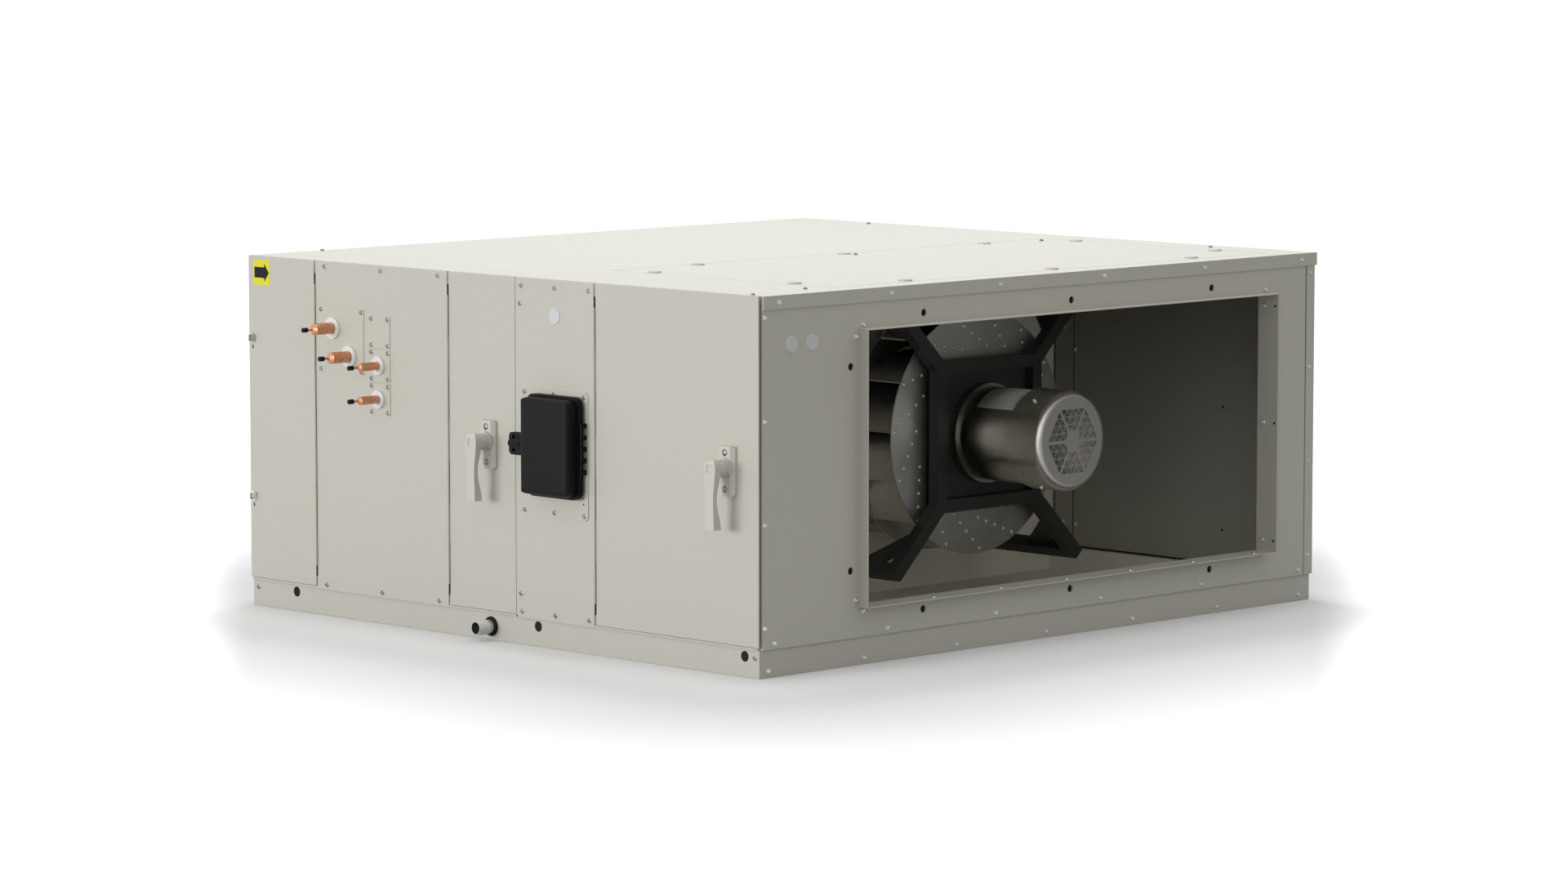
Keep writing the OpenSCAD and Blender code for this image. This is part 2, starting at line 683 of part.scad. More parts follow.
// Fan wall with the inlet cone
fan_wall_y0 = post_back + box_depth;
cone_bell = 40;
cone_flange = 30;
cone_lap = 6;
cone_t = 2;
cone_steps = 10;
module fan_wall() color(paint) difference() {
  union() {
    block([fan_wall_x - sheet_t, fan_wall_y0, sheet_t], [fan_wall_x, well_y, base_h]);
    block([fan_wall_x - sheet_t, fan_wall_y0, base_h], [fan_wall_x, wall_y, ceiling]);
  }
  on_axis(fan_wall_x - sheet_t - 1) cylinder(r = cone_r + cone_bell, h = sheet_t + 2);
}
module inlet_cone() color(steel) on_axis(fan_wall_x) {
  reach = eye_x - fan_wall_x + cone_lap;
  flange_r = cone_r + cone_bell + cone_flange;
  outer = [for (k = [0:cone_steps]) let (a = 90 * k / cone_steps)
    [cone_r + cone_bell * (1 - sin(a)), reach - (reach - sheet_t) * cos(a)]];
  inner = [for (k = [cone_steps:-1:0]) let (a = 90 * k / cone_steps)
    [cone_r + cone_bell * (1 - sin(a)) - cone_t, reach - reach * cos(a)]];
  rotate_extrude() polygon(concat([[flange_r, 0], [flange_r, sheet_t]], outer, inner));
}

// Motor frame: a square ring with a plate inside it and a leg at each corner
module frame_square(size, h) translate([-size / 2, -size / 2, 0]) cube([size, size, h]);
shaft_gap = 1;
plate_bore_gap = 10;
module motor_frame() color(black) on_axis(frame_x0) difference() {
  union() {
    frame_square(frame_size, frame_bar);
    for (a = [45:90:315]) rotate(a) translate([frame_size / 2, -frame_bar / 2, 0])
      cube([foot_r + frame_bar / 2 - frame_size / 2, frame_bar, frame_bar]);
  }
  translate([0, 0, mount_plate_t]) frame_square(frame_size - 2 * frame_bar, frame_bar);
  translate([0, 0, -1]) cylinder(d = shaft_d + 2 * plate_bore_gap, h = mount_plate_t + 2);
}
// Supports: a bar from the fan wall to each leg, braced by a gusset that leaves its corner open
gusset_back = 100;
gusset_up = 90;
gusset_gap = 40;
module motor_supports() color(black) for (a = [45:90:315]) {
  on_axis(fan_wall_x) rotate(a) translate([foot_r - frame_bar / 2, -frame_bar / 2, 0])
    cube([frame_bar, frame_bar, frame_x0 - fan_wall_x]);
  on_axis(frame_x0) rotate(a) translate([foot_r - frame_bar / 2, mount_plate_t / 2, 0])
    rotate([90, 0, 0]) linear_extrude(mount_plate_t) polygon([
      [0, -gusset_gap], [0, -gusset_back], [-gusset_up, 0], [-gusset_gap, 0]
    ]);
}
motor_flange_t = 18;
motor_lap = 20;
motor_bore_l = 40;
module motor() color(steel) on_axis(motor_x0) difference() {
  union() {
    cylinder(d = cowl_d, h = motor_flange_t);
    cylinder(d = motor_d, h = motor_l - cowl_l + motor_lap);
  }
  translate([0, 0, -1]) cylinder(d = shaft_d + 2 * shaft_gap, h = motor_bore_l + 1);
}
cowl_t = 2;
cowl_lap = 24;
// Triangles of one grille sector: rows that widen outwards between two spokes
grille_rise = (grille_d / 2 * cos(30) - grille_spoke) / (grille_rows + 1);
grille_side = grille_rise / cos(30);
module grille_hole(x, y, inwards) translate([grille_spoke + x, y, -1]) rotate(inwards ? 180 : 0)
  cylinder(r = grille_side / sqrt(3) - grille_bar, h = cowl_t + 2, $fn = 3);
module grille_sector() for (row = [1:grille_rows]) {
  for (k = [0:row]) grille_hole(
    row * grille_rise + grille_rise * 2 / 3, (k - row / 2) * grille_side, true);
  for (k = [0:row - 1]) grille_hole(
    row * grille_rise + grille_rise / 3, (k - (row - 1) / 2) * grille_side, false);
}
cowl_steps = 9;
module motor_cowl() color(steel) on_axis(cowl_x0) difference() {
  rotate_extrude() polygon(concat(
    [[motor_d / 2, 0], [cowl_d / 2, 0]],
    [for (k = [0:cowl_steps]) let (a = 90 * k / cowl_steps)
      [cowl_d / 2 - cowl_r + cowl_r * cos(a), cowl_l - cowl_r + cowl_r * sin(a)]],
    [[0, cowl_l], [0, cowl_l - cowl_t]],
    [for (k = [cowl_steps:-1:0]) let (a = 90 * k / cowl_steps)
      [cowl_d / 2 - cowl_r + (cowl_r - cowl_t) * cos(a),
       cowl_l - cowl_r + (cowl_r - cowl_t) * sin(a)]],
    [[cowl_d / 2 - cowl_t, cowl_lap], [motor_d / 2, cowl_lap]]
  ));
  for (a = [0:60:300]) rotate(a + 30) translate([0, 0, cowl_l - cowl_t]) grille_sector();
}

// Disconnect switch: backing plate, switch block, and a cover on a hinge of its own
switch_gap = 8;
switch_t = 14;
switch_face_t = 24;
switch_face_in = [15, 25];
switch_r = 5;
cover_hinge_l = 96;
cover_knuckles = 9;
cover_hinge_z0 = cover_z - cover_hinge_l / 2;
cover_hinge_z1 = cover_z + cover_hinge_l / 2;
module disconnect_plate() color(paint) on_front(backplate_x, mid_z + backplate_rise)
  round_plate(backplate_w, backplate_h, backplate_t, backplate_r);
module disconnect_switch() color(black) {
  inset = cover_rim + cover_wall + switch_gap;
  w = cover_w - 2 * inset;
  h = cover_h - 2 * inset;
  on_front(cover_x, cover_z, backplate_y) {
    round_plate(w, h, switch_t, switch_r);
    round_plate(w - 2 * switch_face_in[0], h - 2 * switch_face_in[1], switch_face_t, switch_r);
  }
  translate([cover_hinge_x, cover_hinge_y, 0]) {
    barrels(cover_hinge_z0, cover_hinge_z1, cover_knuckles, 0);
    leaves(cover_hinge_z0, cover_hinge_z1, cover_knuckles, 0,
           [0, 0], [leaf_t, backplate_y - cover_hinge_y]);
    translate([0, 0, cover_hinge_z0]) cylinder(d = pin_d, h = cover_hinge_l);
  }
}
// Bar of width w along y whose two upper edges are rounded
module soft_bar(w, h, d, r) {
  translate([-w / 2, -h / 2, 0]) cube([w, h, d - r]);
  translate([-w / 2 + r, -h / 2, 0]) cube([w - 2 * r, h, d]);
  for (s = [-1, 1]) translate([s * (w / 2 - r), -h / 2, d - r]) rotate([-90, 0, 0])
    cylinder(r = r, h = h);
}
hasp_l = 44;
hasp_h = 42;
hasp_t = 9;
hasp_rise = 12;
hasp_r = 9;
hasp_hole_d = 8;
hasp_hole_in = 9;
hasp_hole_y = 12;
hasp_pin_d = 12;
hasp_pin_l = 30;
hasp_pin_out = 2;
// Hasp on the cover's free edge: a tab with two lock holes and a latch pin between them
module hasp() translate([-cover_w / 2 + cover_rim + cover_wall / 2 - hasp_l / 2, 0, hasp_rise]) {
  difference() {
    union() {
      round_plate(hasp_l, hasp_h, hasp_t, hasp_r);
      translate([0, -hasp_h / 2, 0]) cube([hasp_l / 2, hasp_h, hasp_t]);
    }
    for (s = [-1, 1]) translate([-hasp_hole_in, s * hasp_hole_y, -1])
      cylinder(d = hasp_hole_d, h = hasp_t + 2);
  }
  translate([-hasp_l / 2 - hasp_pin_out, 0, hasp_t / 2]) rotate([0, 90, 0])
    cylinder(d = hasp_pin_d, h = hasp_pin_l);
}
module cover_shell() difference() {
  w = cover_w - 2 * cover_rim;
  h = cover_h - 2 * cover_rim;
  r = cover_edge_r;
  union() {
    round_plate(cover_w, cover_h, cover_rim_d, cover_r);
    intersection() {
      round_plate(w, h, cover_d, cover_r - 1);
      soft_bar(w, h, cover_d, r);
      rotate(90) soft_bar(h, w, cover_d, r);
    }
    hasp();
  }
  translate([0, 0, -1])
    round_plate(w - 2 * cover_wall, h - 2 * cover_wall, cover_d - r + 1, cover_r - cover_wall - 1);
  translate([0, 0, -1]) round_plate(w - 2 * r, h - 2 * r, cover_d - cover_wall + 1, switch_r);
}
module disconnect_cover() color(black) {
  on_front(cover_x, cover_z, cover_y) cover_shell();
  translate([cover_hinge_x, cover_hinge_y, 0]) difference() {
    union() {
      barrels(cover_hinge_z0, cover_hinge_z1, cover_knuckles, 1);
      leaves(cover_hinge_z0, cover_hinge_z1, cover_knuckles, 1,
             [cover_x1 - cover_hinge_x, -leaf_t / 2], [0, leaf_t / 2]);
    }
    cylinder(d = pin_d + 2 * pin_gap, h = cabinet_h);
  }
}

// Doors, with their halves of the hinges, and the handles
module fan_door() color(paint) {
  front_leaf(seam_fan + hinge_seam / 2, end_edge, door_z0,
             seam_fan + post_w / 2 + core_gap, wall_x - post_w - core_gap);
  door_hinge(seam_fan, 1);
}
module control_door() color(paint) {
  front_leaf(seam_control + hinge_seam / 2, seam_latch - door_gap / 2, door_z0,
             seam_control + post_w / 2 + core_gap, seam_latch - post_w / 2 - core_gap);
  door_hinge(seam_control, 1);
}
module filter_door() color(paint) {
  front_leaf(-end_edge, seam_filter - hinge_seam / 2, door_z0,
             -wall_x + post_w + core_gap, seam_filter - post_w / 2 - core_gap);
  door_hinge(seam_filter, -1);
}
handle_plate_drop = 6;
handle_plate_r = 5;
handle_plate_rise = 5;
handle_plate_bevel = 6;
spindle_gap = 0.5;
spindle_d = handle_boss_d - 11;
// Plate with sloped long sides
module handle_plate(x) color(paint) on_front(x, handle_z - handle_plate_drop) difference() {
  intersection() {
    round_plate(handle_plate_w, handle_plate_h, handle_plate_t, handle_plate_r);
    translate([0, handle_plate_h / 2, 0]) rotate([90, 0, 0]) linear_extrude(handle_plate_h) polygon([
      [-handle_plate_w / 2, 0], [handle_plate_w / 2, 0], [handle_plate_w / 2, handle_plate_rise],
      [handle_plate_w / 2 - handle_plate_bevel, handle_plate_t],
      [-handle_plate_w / 2 + handle_plate_bevel, handle_plate_t],
      [-handle_plate_w / 2, handle_plate_rise]
    ]);
  }
  translate([0, handle_plate_drop, -1])
    cylinder(d = spindle_d + 2 * spindle_gap, h = handle_plate_t + 2);
}
// Lever: a boss on the pivot and a bar that hangs from it, waisted both ways
lever_steps = 16;
lever_top = 17;
lever_round = 10;
lever_bend = 0.5;
boss_collar_d = handle_boss_d + 6;
boss_collar_t = 5;
mark_w = 14;
mark_h = 15;
mark_t = 1.2;
function ease(t) = (1 - cos(180 * t)) / 2;
function waisted(t, a, b, c) = t < lever_bend
  ? a + (b - a) * ease(t / lever_bend)
  : b + (c - b) * ease((t - lever_bend) / (1 - lever_bend));
function lever_half(t) = waisted(t, lever_w, lever_waist_w, lever_tip_w) / 2;
function lever_back(t) = handle_out - waisted(t, lever_t, lever_waist_t, lever_tip_t);
// Outline from the front: a round head and the waisted bar below it
module lever_front() linear_extrude(handle_out + 1) polygon(concat(
  [for (k = [0:lever_steps]) let (a = 180 * k / lever_steps)
    [lever_w / 2 * cos(a), lever_top - lever_w / 2 + lever_w / 2 * sin(a)]],
  [for (k = [0:lever_steps]) let (t = k / lever_steps) [-lever_half(t), -lever_l * t]],
  [for (k = [lever_steps:-1:0]) let (t = k / lever_steps) [lever_half(t), -lever_l * t]]
));
// Outline from the side: a rounded shoulder, a flat face and the waisted back
module lever_side() translate([-lever_w, 0, 0]) rotate([90, 0, 90]) linear_extrude(2 * lever_w)
  polygon(concat(
    [[lever_top, handle_out - lever_t]],
    [for (k = [0:lever_steps]) let (a = 90 * k / lever_steps)
      [lever_top - lever_round + lever_round * cos(a), handle_out - lever_round + lever_round * sin(a)]],
    [[-lever_l, handle_out]],
    [for (k = [lever_steps:-1:0]) let (t = k / lever_steps) [-lever_l * t, lever_back(t)]]
  ));
module lever(x) color(paint) on_front(x, handle_z) difference() {
  union() {
    cylinder(d = spindle_d, h = handle_plate_t + 2 * spindle_gap);
    translate([0, 0, handle_plate_t + spindle_gap]) {
      cylinder(d = boss_collar_d, h = boss_collar_t);
      cylinder(d = handle_boss_d, h = handle_out - lever_waist_t - handle_plate_t - spindle_gap);
    }
    intersection() {
      lever_front();
      lever_side();
    }
  }
  translate([-mark_w / 2, -mark_h / 2, handle_out - mark_t]) cube([mark_w, mark_h, 2 * mark_t]);
}
module fan_handle_plate() handle_plate(fan_handle_x);
module fan_handle() lever(fan_handle_x);
module control_handle_plate() handle_plate(control_handle_x);
module control_handle() lever(control_handle_x);
latch_d = 19;
latch_t = 3;
latch_rim = 3;
latch_in = 11;
latch_end = 160;
latch_key_t = 5;
module filter_latches() color(steel)
  for (z = [cabinet_h - latch_end, door_z0 + latch_end]) on_front(-end_edge + latch_in, z) {
    cylinder(d = latch_d, h = latch_t);
    cylinder(d = latch_d - 2 * latch_rim, h = 2 * latch_t);
    translate([-latch_t / 2, latch_rim - latch_d / 2, latch_t])
      cube([latch_t, latch_d - 2 * latch_rim, latch_t + latch_key_t]);
  }

// Fan wheel: back plate, backward-curved blades, shroud and hub
function shroud_pts(a_r, a_x, from, to, step) = [for (a = [from:step:to])
  [wheel_r - (wheel_r - eye_r + a_r) * sin(a), eye_x + (shroud_d + a_x) * cos(a)]];
shroud_step = 10;
module fan_back_plate() color(steel) on_axis(wheel_back_x - wheel_t) difference() {
  cylinder(r = wheel_r, h = wheel_t);
  translate([0, 0, -1]) cylinder(d = shaft_d + 2 * spindle_gap, h = wheel_t + 2);
}
module fan_shroud() color(steel) on_axis(0) rotate_extrude() polygon(concat(
  shroud_pts(0, 0, 0, 90, shroud_step),
  [[eye_r, eye_x - eye_lip], [eye_r - wheel_t, eye_x - eye_lip]],
  [for (p = shroud_pts(wheel_t, wheel_t, 90, 0, -shroud_step)) p]
));
// Blade: a sheet along a spiral that leans away from the radius, trimmed to the wheel's section
blade_steps = 9;
blade_in = 6;
blade_out = 3;
blade_in_r = eye_r + blade_in;
blade_out_r = wheel_r - blade_out;
function blade_at(r, off) = let (a = tan(blade_lean) * ln(r / blade_in_r) * 180 / PI)
  [r * cos(a) - off * sin(a + blade_lean), r * sin(a) + off * cos(a + blade_lean)];
module fan_blades() color(steel) on_axis(0) intersection() {
  for (b = [0:blade_count - 1]) rotate(b * 360 / blade_count)
    translate([0, 0, eye_x]) linear_extrude(wheel_back_x - wheel_t - eye_x) polygon(concat(
      [for (k = [0:blade_steps])
        blade_at(blade_in_r + (blade_out_r - blade_in_r) * k / blade_steps, -wheel_t / 2)],
      [for (k = [blade_steps:-1:0])
        blade_at(blade_in_r + (blade_out_r - blade_in_r) * k / blade_steps, wheel_t / 2)]
    ));
  rotate_extrude() polygon(concat(
    [[eye_r - eye_lip, wheel_back_x - wheel_t], [wheel_r, wheel_back_x - wheel_t]],
    shroud_pts(wheel_t, wheel_t, 0, 90, shroud_step),
    [[eye_r - eye_lip, eye_x]]
  ));
}
shaft_end = 4;
module fan_hub() color(steel) on_axis(wheel_back_x - wheel_t - hub_l) {
  cylinder(d = hub_d, h = hub_l);
  cylinder(d = shaft_d, h = hub_l + wheel_t + motor_x0 - wheel_back_x + motor_bore_l - shaft_end);
}

base_rails();
base_pan();
roof();
roof_cover();
far_panels();
discharge_panel();
discharge_collar();
inlet_panel();
front_posts();
front_header();
door_hinges();
coil_panel();
disconnect_panel();
pipe_plates();
refrigerant_stubs();
stub_caps();
pipe_rings();
drain_pan();
drain_stub();
hole_plugs();
control_box();
cooling_coil();
filter_tracks();
filters();
fan_wall();
inlet_cone();
motor_frame();
motor_supports();
motor();
motor_cowl();
disconnect_plate();
disconnect_switch();
fan_back_plate();
fan_blades();
fan_shroud();
fan_hub();
fan_door();
fan_handle_plate();
fan_handle();
control_door();
control_handle_plate();
control_handle();
filter_door();
filter_latches();
disconnect_cover();
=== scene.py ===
"""Finish for the air handling unit: paint, metals, fasteners, seals and a pale studio.

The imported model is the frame. Every new piece is a surface worked out with numpy in the same
frame, in metres: X along the airflow, Y away from the access side, Z up.
"""

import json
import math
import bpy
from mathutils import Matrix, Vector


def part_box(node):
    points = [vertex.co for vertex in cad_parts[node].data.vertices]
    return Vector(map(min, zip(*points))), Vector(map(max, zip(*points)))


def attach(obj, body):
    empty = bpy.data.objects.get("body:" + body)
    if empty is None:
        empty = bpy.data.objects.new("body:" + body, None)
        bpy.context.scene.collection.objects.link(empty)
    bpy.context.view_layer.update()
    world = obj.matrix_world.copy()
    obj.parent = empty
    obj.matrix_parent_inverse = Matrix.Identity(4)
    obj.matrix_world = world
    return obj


bl_info = {
    "name": "Air Handling Unit Finish",
    "version": (1, 0, 0),
    "blender": (4, 5, 0),
    "location": "3D View > Sidebar > Air Unit",
    "description": "Dresses the packed air handling unit with finishes, fasteners and a studio",
    "category": "Object",
}

import bpy
import numpy as np

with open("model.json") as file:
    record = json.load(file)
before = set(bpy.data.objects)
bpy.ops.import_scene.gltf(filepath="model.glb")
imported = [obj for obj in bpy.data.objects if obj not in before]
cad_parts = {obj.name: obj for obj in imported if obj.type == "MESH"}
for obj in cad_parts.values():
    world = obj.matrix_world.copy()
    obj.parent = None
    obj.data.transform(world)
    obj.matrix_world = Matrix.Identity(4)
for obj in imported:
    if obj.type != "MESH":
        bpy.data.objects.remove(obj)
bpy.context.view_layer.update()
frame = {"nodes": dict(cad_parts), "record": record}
MM = 0.001


def edges(node):
    """Lowest and highest corner of a node as arrays."""
    low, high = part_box(node)
    return np.array(low), np.array(high)


# Faces and middles that the fasteners and seals are placed from
COIL = edges("coil_panel")
SWITCH_PANEL = edges("disconnect_panel")
BACKPLATE = edges("disconnect_plate")
PIPE_PLATES = edges("pipe_plates")
OUTLET = edges("discharge_panel")
COLLAR = edges("discharge_collar")
FAR = edges("far_panels")
ROOF = edges("roof")
ROOF_COVER = edges("roof_cover")
RAILS = edges("base_rails")
WHEEL = edges("fan_back_plate")
COWL = edges("motor_cowl")
HINGES = edges("door_hinges")
POSTS = edges("front_posts")
FAN_DOOR = edges("fan_door")
CONTROL_DOOR = edges("control_door")
FILTER_DOOR = edges("filter_door")
LATCHES = edges("filter_latches")
DRAIN = edges("drain_stub")
INLET = edges("inlet_panel")
FRONT_Y = COIL[0][1]
SKIN_BACK = FRONT_Y + 3 * MM
POST_Y = POSTS[0][1]
WALL_Y = FAR[0][1]
RAIL_TOP = RAILS[1][2]
DOOR_FOOT = CONTROL_DOOR[0][2]
DOOR_TOP = CONTROL_DOOR[1][2]
HALF_SEAM = 3.5 * MM
HINGE_XS = np.array([COIL[0][0] - HALF_SEAM, COIL[1][0] + HALF_SEAM, SWITCH_PANEL[1][0] + HALF_SEAM])
DOOR_SIDES = np.array([-1, 1, 1])
LATCH_SEAM_X = (CONTROL_DOOR[1][0] + SWITCH_PANEL[0][0]) / 2
OUTLET_X = OUTLET[1][0]
ROOF_Z = ROOF[1][2]
BOTH_SIDES = np.array([-1, 1])
COLLAR_SHEET = 2 * MM

# Heights and places of the screws on the two end panels and in the outlet's reveal
END_ROWS = np.linspace(0.0905, 0.648, 4)
END_LINE = np.linspace(-0.730, 0.723, 6)
END_LINE_Z = 62 * MM
REVEAL_ROWS = [0.129, 0.360, 0.589]

# Noise lies mostly between these; paint has slow patches of one size and a grain of one strength
NOISE_LOW, NOISE_HIGH = 0.3, 0.7
PAINT_PATCH, PAINT_RELIEF = 1.7, 0.35

# Reflections see a studio that dims in this direction
DIM_SIDE = (math.sqrt(0.5), math.sqrt(0.5), 0.0)

# Turns from a piece's own axes (z outwards) to the face that carries it
ON_FRONT = np.array([[1, 0, 0], [0, 0, -1], [0, 1, 0]], float)
ON_OUTLET = np.array([[0, 0, 1], [1, 0, 0], [0, 1, 0]], float)
ON_ROOF = np.eye(3)
ON_BACK = np.array([[-1, 0, 0], [0, 0, 1], [0, 1, 0]], float)
ON_INLET = np.array([[0, 0, -1], [-1, 0, 0], [0, 1, 0]], float)


class AirUnitPaint(bpy.types.PropertyGroup):
    """Colours of the finishes."""

    cabinet: bpy.props.FloatVectorProperty(
        name="Cabinet paint", description="Powder coat of the cabinet",
        subtype="COLOR", size=3, min=0.0, max=1.0, default=(0.535, 0.523, 0.458))
    handle: bpy.props.FloatVectorProperty(
        name="Handle paint", description="Enamel on the door handles",
        subtype="COLOR", size=3, min=0.0, max=1.0, default=(0.575, 0.562, 0.495))
    black: bpy.props.FloatVectorProperty(
        name="Frame black", description="Paint of the motor frame",
        subtype="COLOR", size=3, min=0.0, max=1.0, default=(0.026, 0.026, 0.025))
    moulding: bpy.props.FloatVectorProperty(
        name="Switch black", description="Moulded switch cover and caps",
        subtype="COLOR", size=3, min=0.0, max=1.0, default=(0.005, 0.005, 0.0055))
    copper: bpy.props.FloatVectorProperty(
        name="Copper", description="Refrigerant stubs",
        subtype="COLOR", size=3, min=0.0, max=1.0, default=(0.70, 0.33, 0.20))


class AirUnitSizes(bpy.types.PropertyGroup):
    """Sizes of the fasteners."""

    screw_flange: bpy.props.FloatProperty(
        name="Screw flange", description="Radius of a panel screw's flange",
        unit="LENGTH", min=0.001, default=0.0046)
    screw_hex: bpy.props.FloatProperty(
        name="Screw hexagon", description="Corner radius of a panel screw's head",
        unit="LENGTH", min=0.001, default=0.0038)
    screw_height: bpy.props.FloatProperty(
        name="Screw height", description="Height of a panel screw's head",
        unit="LENGTH", min=0.001, default=0.0036)
    rivet: bpy.props.FloatProperty(
        name="Rivet", description="Radius of the wheel's rivets",
        unit="LENGTH", min=0.001, default=0.0036)
    roof_button: bpy.props.FloatProperty(
        name="Roof button", description="Radius of the roof cover's fasteners",
        unit="LENGTH", min=0.004, default=0.0135)


class AirUnitStudio(bpy.types.PropertyGroup):
    """Camera and lamps."""

    lens: bpy.props.FloatProperty(
        name="Lens", description="Focal length on a 36 mm sensor", min=20.0, default=131.34)
    camera_at: bpy.props.FloatVectorProperty(
        name="Camera", description="Place of the camera",
        subtype="TRANSLATION", unit="LENGTH", size=3, default=(7.9004, -7.8815, 1.5053))
    yaw: bpy.props.FloatProperty(
        name="Yaw", description="Direction of view round Z, from +X",
        subtype="ANGLE", default=math.radians(135.062))
    pitch: bpy.props.FloatProperty(
        name="Pitch", description="Direction of view above the horizon",
        subtype="ANGLE", default=math.radians(-6.074))
    sky: bpy.props.FloatProperty(
        name="Sky", description="Strength of the even light from all round", min=0.0, default=0.64)
    key: bpy.props.FloatProperty(
        name="Key", description="Power of the lamp at the access side", subtype="POWER",
        min=0.0, default=345.0)
    top: bpy.props.FloatProperty(
        name="Top", description="Power of the lamp overhead", subtype="POWER",
        min=0.0, default=98.0)


def settings():
    """The scene's own property groups."""
    return bpy.context.scene.air_unit_paint, bpy.context.scene.air_unit_sizes


# Surfaces

def grid_faces(rows, cols, wrap=False):
    """Quads of a grid of rows by cols points; wrap joins the last column to the first."""
    index = np.arange(rows * cols).reshape(rows, cols)
    right = np.roll(index, -1, axis=1)
    low, low_right, high, high_right = index[:-1], right[:-1], index[1:], right[1:]
    quads = np.stack([low, low_right, high_right, high], axis=-1)
    return (quads if wrap else quads[:, :-1]).reshape(-1, 4).tolist()


def ring_stack(rings):
    """Closed skin over rings of shape (rows, cols, 3): quads between rings, one face on each end."""
    rows, cols = rings.shape[:2]
    faces = grid_faces(rows, cols, wrap=True)
    faces.append(list(range(cols))[::-1])
    faces.append(list(range((rows - 1) * cols, rows * cols)))
    return rings.reshape(-1, 3), faces


def ring_loop(rings):
    """Skin over rings of shape (rows, cols, 3) whose last row joins the first, like a tyre."""
    rows, cols = rings.shape[:2]
    faces = np.array(grid_faces(rows + 1, cols, wrap=True)) % (rows * cols)
    return rings.reshape(-1, 3), faces.tolist()


def turned(radii, heights, turns):
    """Rings of a profile (radius, height) carried round z: x = r cos a, y = r sin a, z = h."""
    angle = np.linspace(0.0, 2 * np.pi, turns, endpoint=False)
    r = np.asarray(radii)[:, None]
    z = np.asarray(heights)[:, None] + 0.0 * angle
    return np.stack([r * np.cos(angle), r * np.sin(angle), z], axis=-1)


def lathe(radii, heights, turns):
    """A solid turned from a profile that starts at its foot and ends on its top."""
    return ring_stack(turned(radii, heights, turns))


def disc(radius, thickness, turns=24):
    """A flat round disc with a small break on its upper edge."""
    edge = min(0.2 * radius, 0.3 * thickness)
    return lathe([radius, radius, radius - edge], [0.0, thickness - edge, thickness], turns)


def hex_screw(flange, corner, height):
    """Hexagon head on a round flange, with a dished top.

    Each ring's radius goes from a circle to a hexagon: r = corner cos 30 / cos(a mod 60 - 30).
    """
    angle = np.linspace(0.0, 2 * np.pi, 12, endpoint=False)
    hexagon = np.cos(np.pi / 6) / np.cos(np.mod(angle, np.pi / 3) - np.pi / 6)
    radius = np.array([flange, flange, corner * 1.02, corner, corner * 0.9, corner * 0.55, corner * 0.4])
    level = np.array([0.0, 0.22, 0.34, 0.86, 1.0, 1.0, 0.7]) * height
    shape = np.array([0.0, 0.0, 1.0, 1.0, 1.0, 0.0, 0.0])[:, None]
    r = radius[:, None] * (1.0 + shape * (hexagon - 1.0))
    rings = np.stack([r * np.cos(angle), r * np.sin(angle), level[:, None] + 0.0 * angle], axis=-1)
    return ring_stack(rings)


def dome(radius, height, turns=10):
    """Rivet head: r = R cos t, z = h sin t, with a short upright skirt."""
    t = np.radians([0.0, 28.0, 52.0, 72.0])
    radii = np.concatenate([[radius], radius * np.cos(t)])
    heights = np.concatenate([[0.0], height * (0.15 + 0.85 * np.sin(t))])
    return lathe(radii, heights, turns)


def outline(width, height, radius, inset, corner_points):
    """Points round a rectangle with round corners, counter-clockwise, pulled in by inset.

    Each corner is an arc about its own centre: centre + (r - inset) (cos a, sin a).
    """
    r = max(radius - inset, 1e-5)
    start = np.radians([0.0, 90.0, 180.0, 270.0])[:, None]
    a = (start + np.linspace(0.0, np.pi / 2, corner_points)).ravel()
    sx = np.repeat([1.0, -1.0, -1.0, 1.0], corner_points)
    sy = np.repeat([1.0, 1.0, -1.0, -1.0], corner_points)
    x = sx * (width / 2 - inset - r) + r * np.cos(a)
    y = sy * (height / 2 - inset - r) + r * np.sin(a)
    return np.stack([x, y], axis=-1)


def carried(width, height, radius, profile, corner_points):
    """Rings of (inset, level) pairs carried round a rectangle with round corners."""
    rings = []
    for inset, level in profile:
        points = outline(width, height, radius, inset, corner_points)
        rings.append(np.column_stack([points, np.full(len(points), level)]))
    return np.array(rings)


def plate(width, height, radius, profile, corner_points=7):
    """A solid plate whose edge follows a profile of (inset, level) pairs, foot first."""
    return ring_stack(carried(width, height, radius, profile, corner_points))


def strip(width, height, thickness):
    """A long thin plate with a small break on its outer edges."""
    edge = 0.15 * min(width, height, thickness)
    return plate(width, height, 1.5 * edge, [(0.0, 0.0), (0.0, thickness - edge), (edge, thickness)], 3)


def band(width, height, radius, across, thickness):
    """A flat frame: a four-point profile carried round a rounded rectangle and closed on itself."""
    profile = [(0.0, 0.0), (0.0, thickness), (across, thickness), (across, 0.0)]
    return ring_loop(carried(width, height, radius, profile, 6))


def places(xs, ys, zs):
    """Every combination of the given x, y and z."""
    return np.stack(np.meshgrid(xs, ys, zs, indexing="ij"), axis=-1).reshape(-1, 3)


def shifted(faces, base):
    """Faces with every index raised by a base."""
    return [(np.array(face) + base).tolist() for face in faces]


def scatter(shape, spots, turn):
    """Copies a shape to every spot: v = spot + turn v0, as one array."""
    verts, faces = shape
    spots = np.atleast_2d(np.asarray(spots, float))
    moved = (spots[:, None, :] + (verts @ turn.T)[None]).reshape(-1, 3)
    copies = [face for k in range(len(spots)) for face in shifted(faces, k * len(verts))]
    return moved, copies


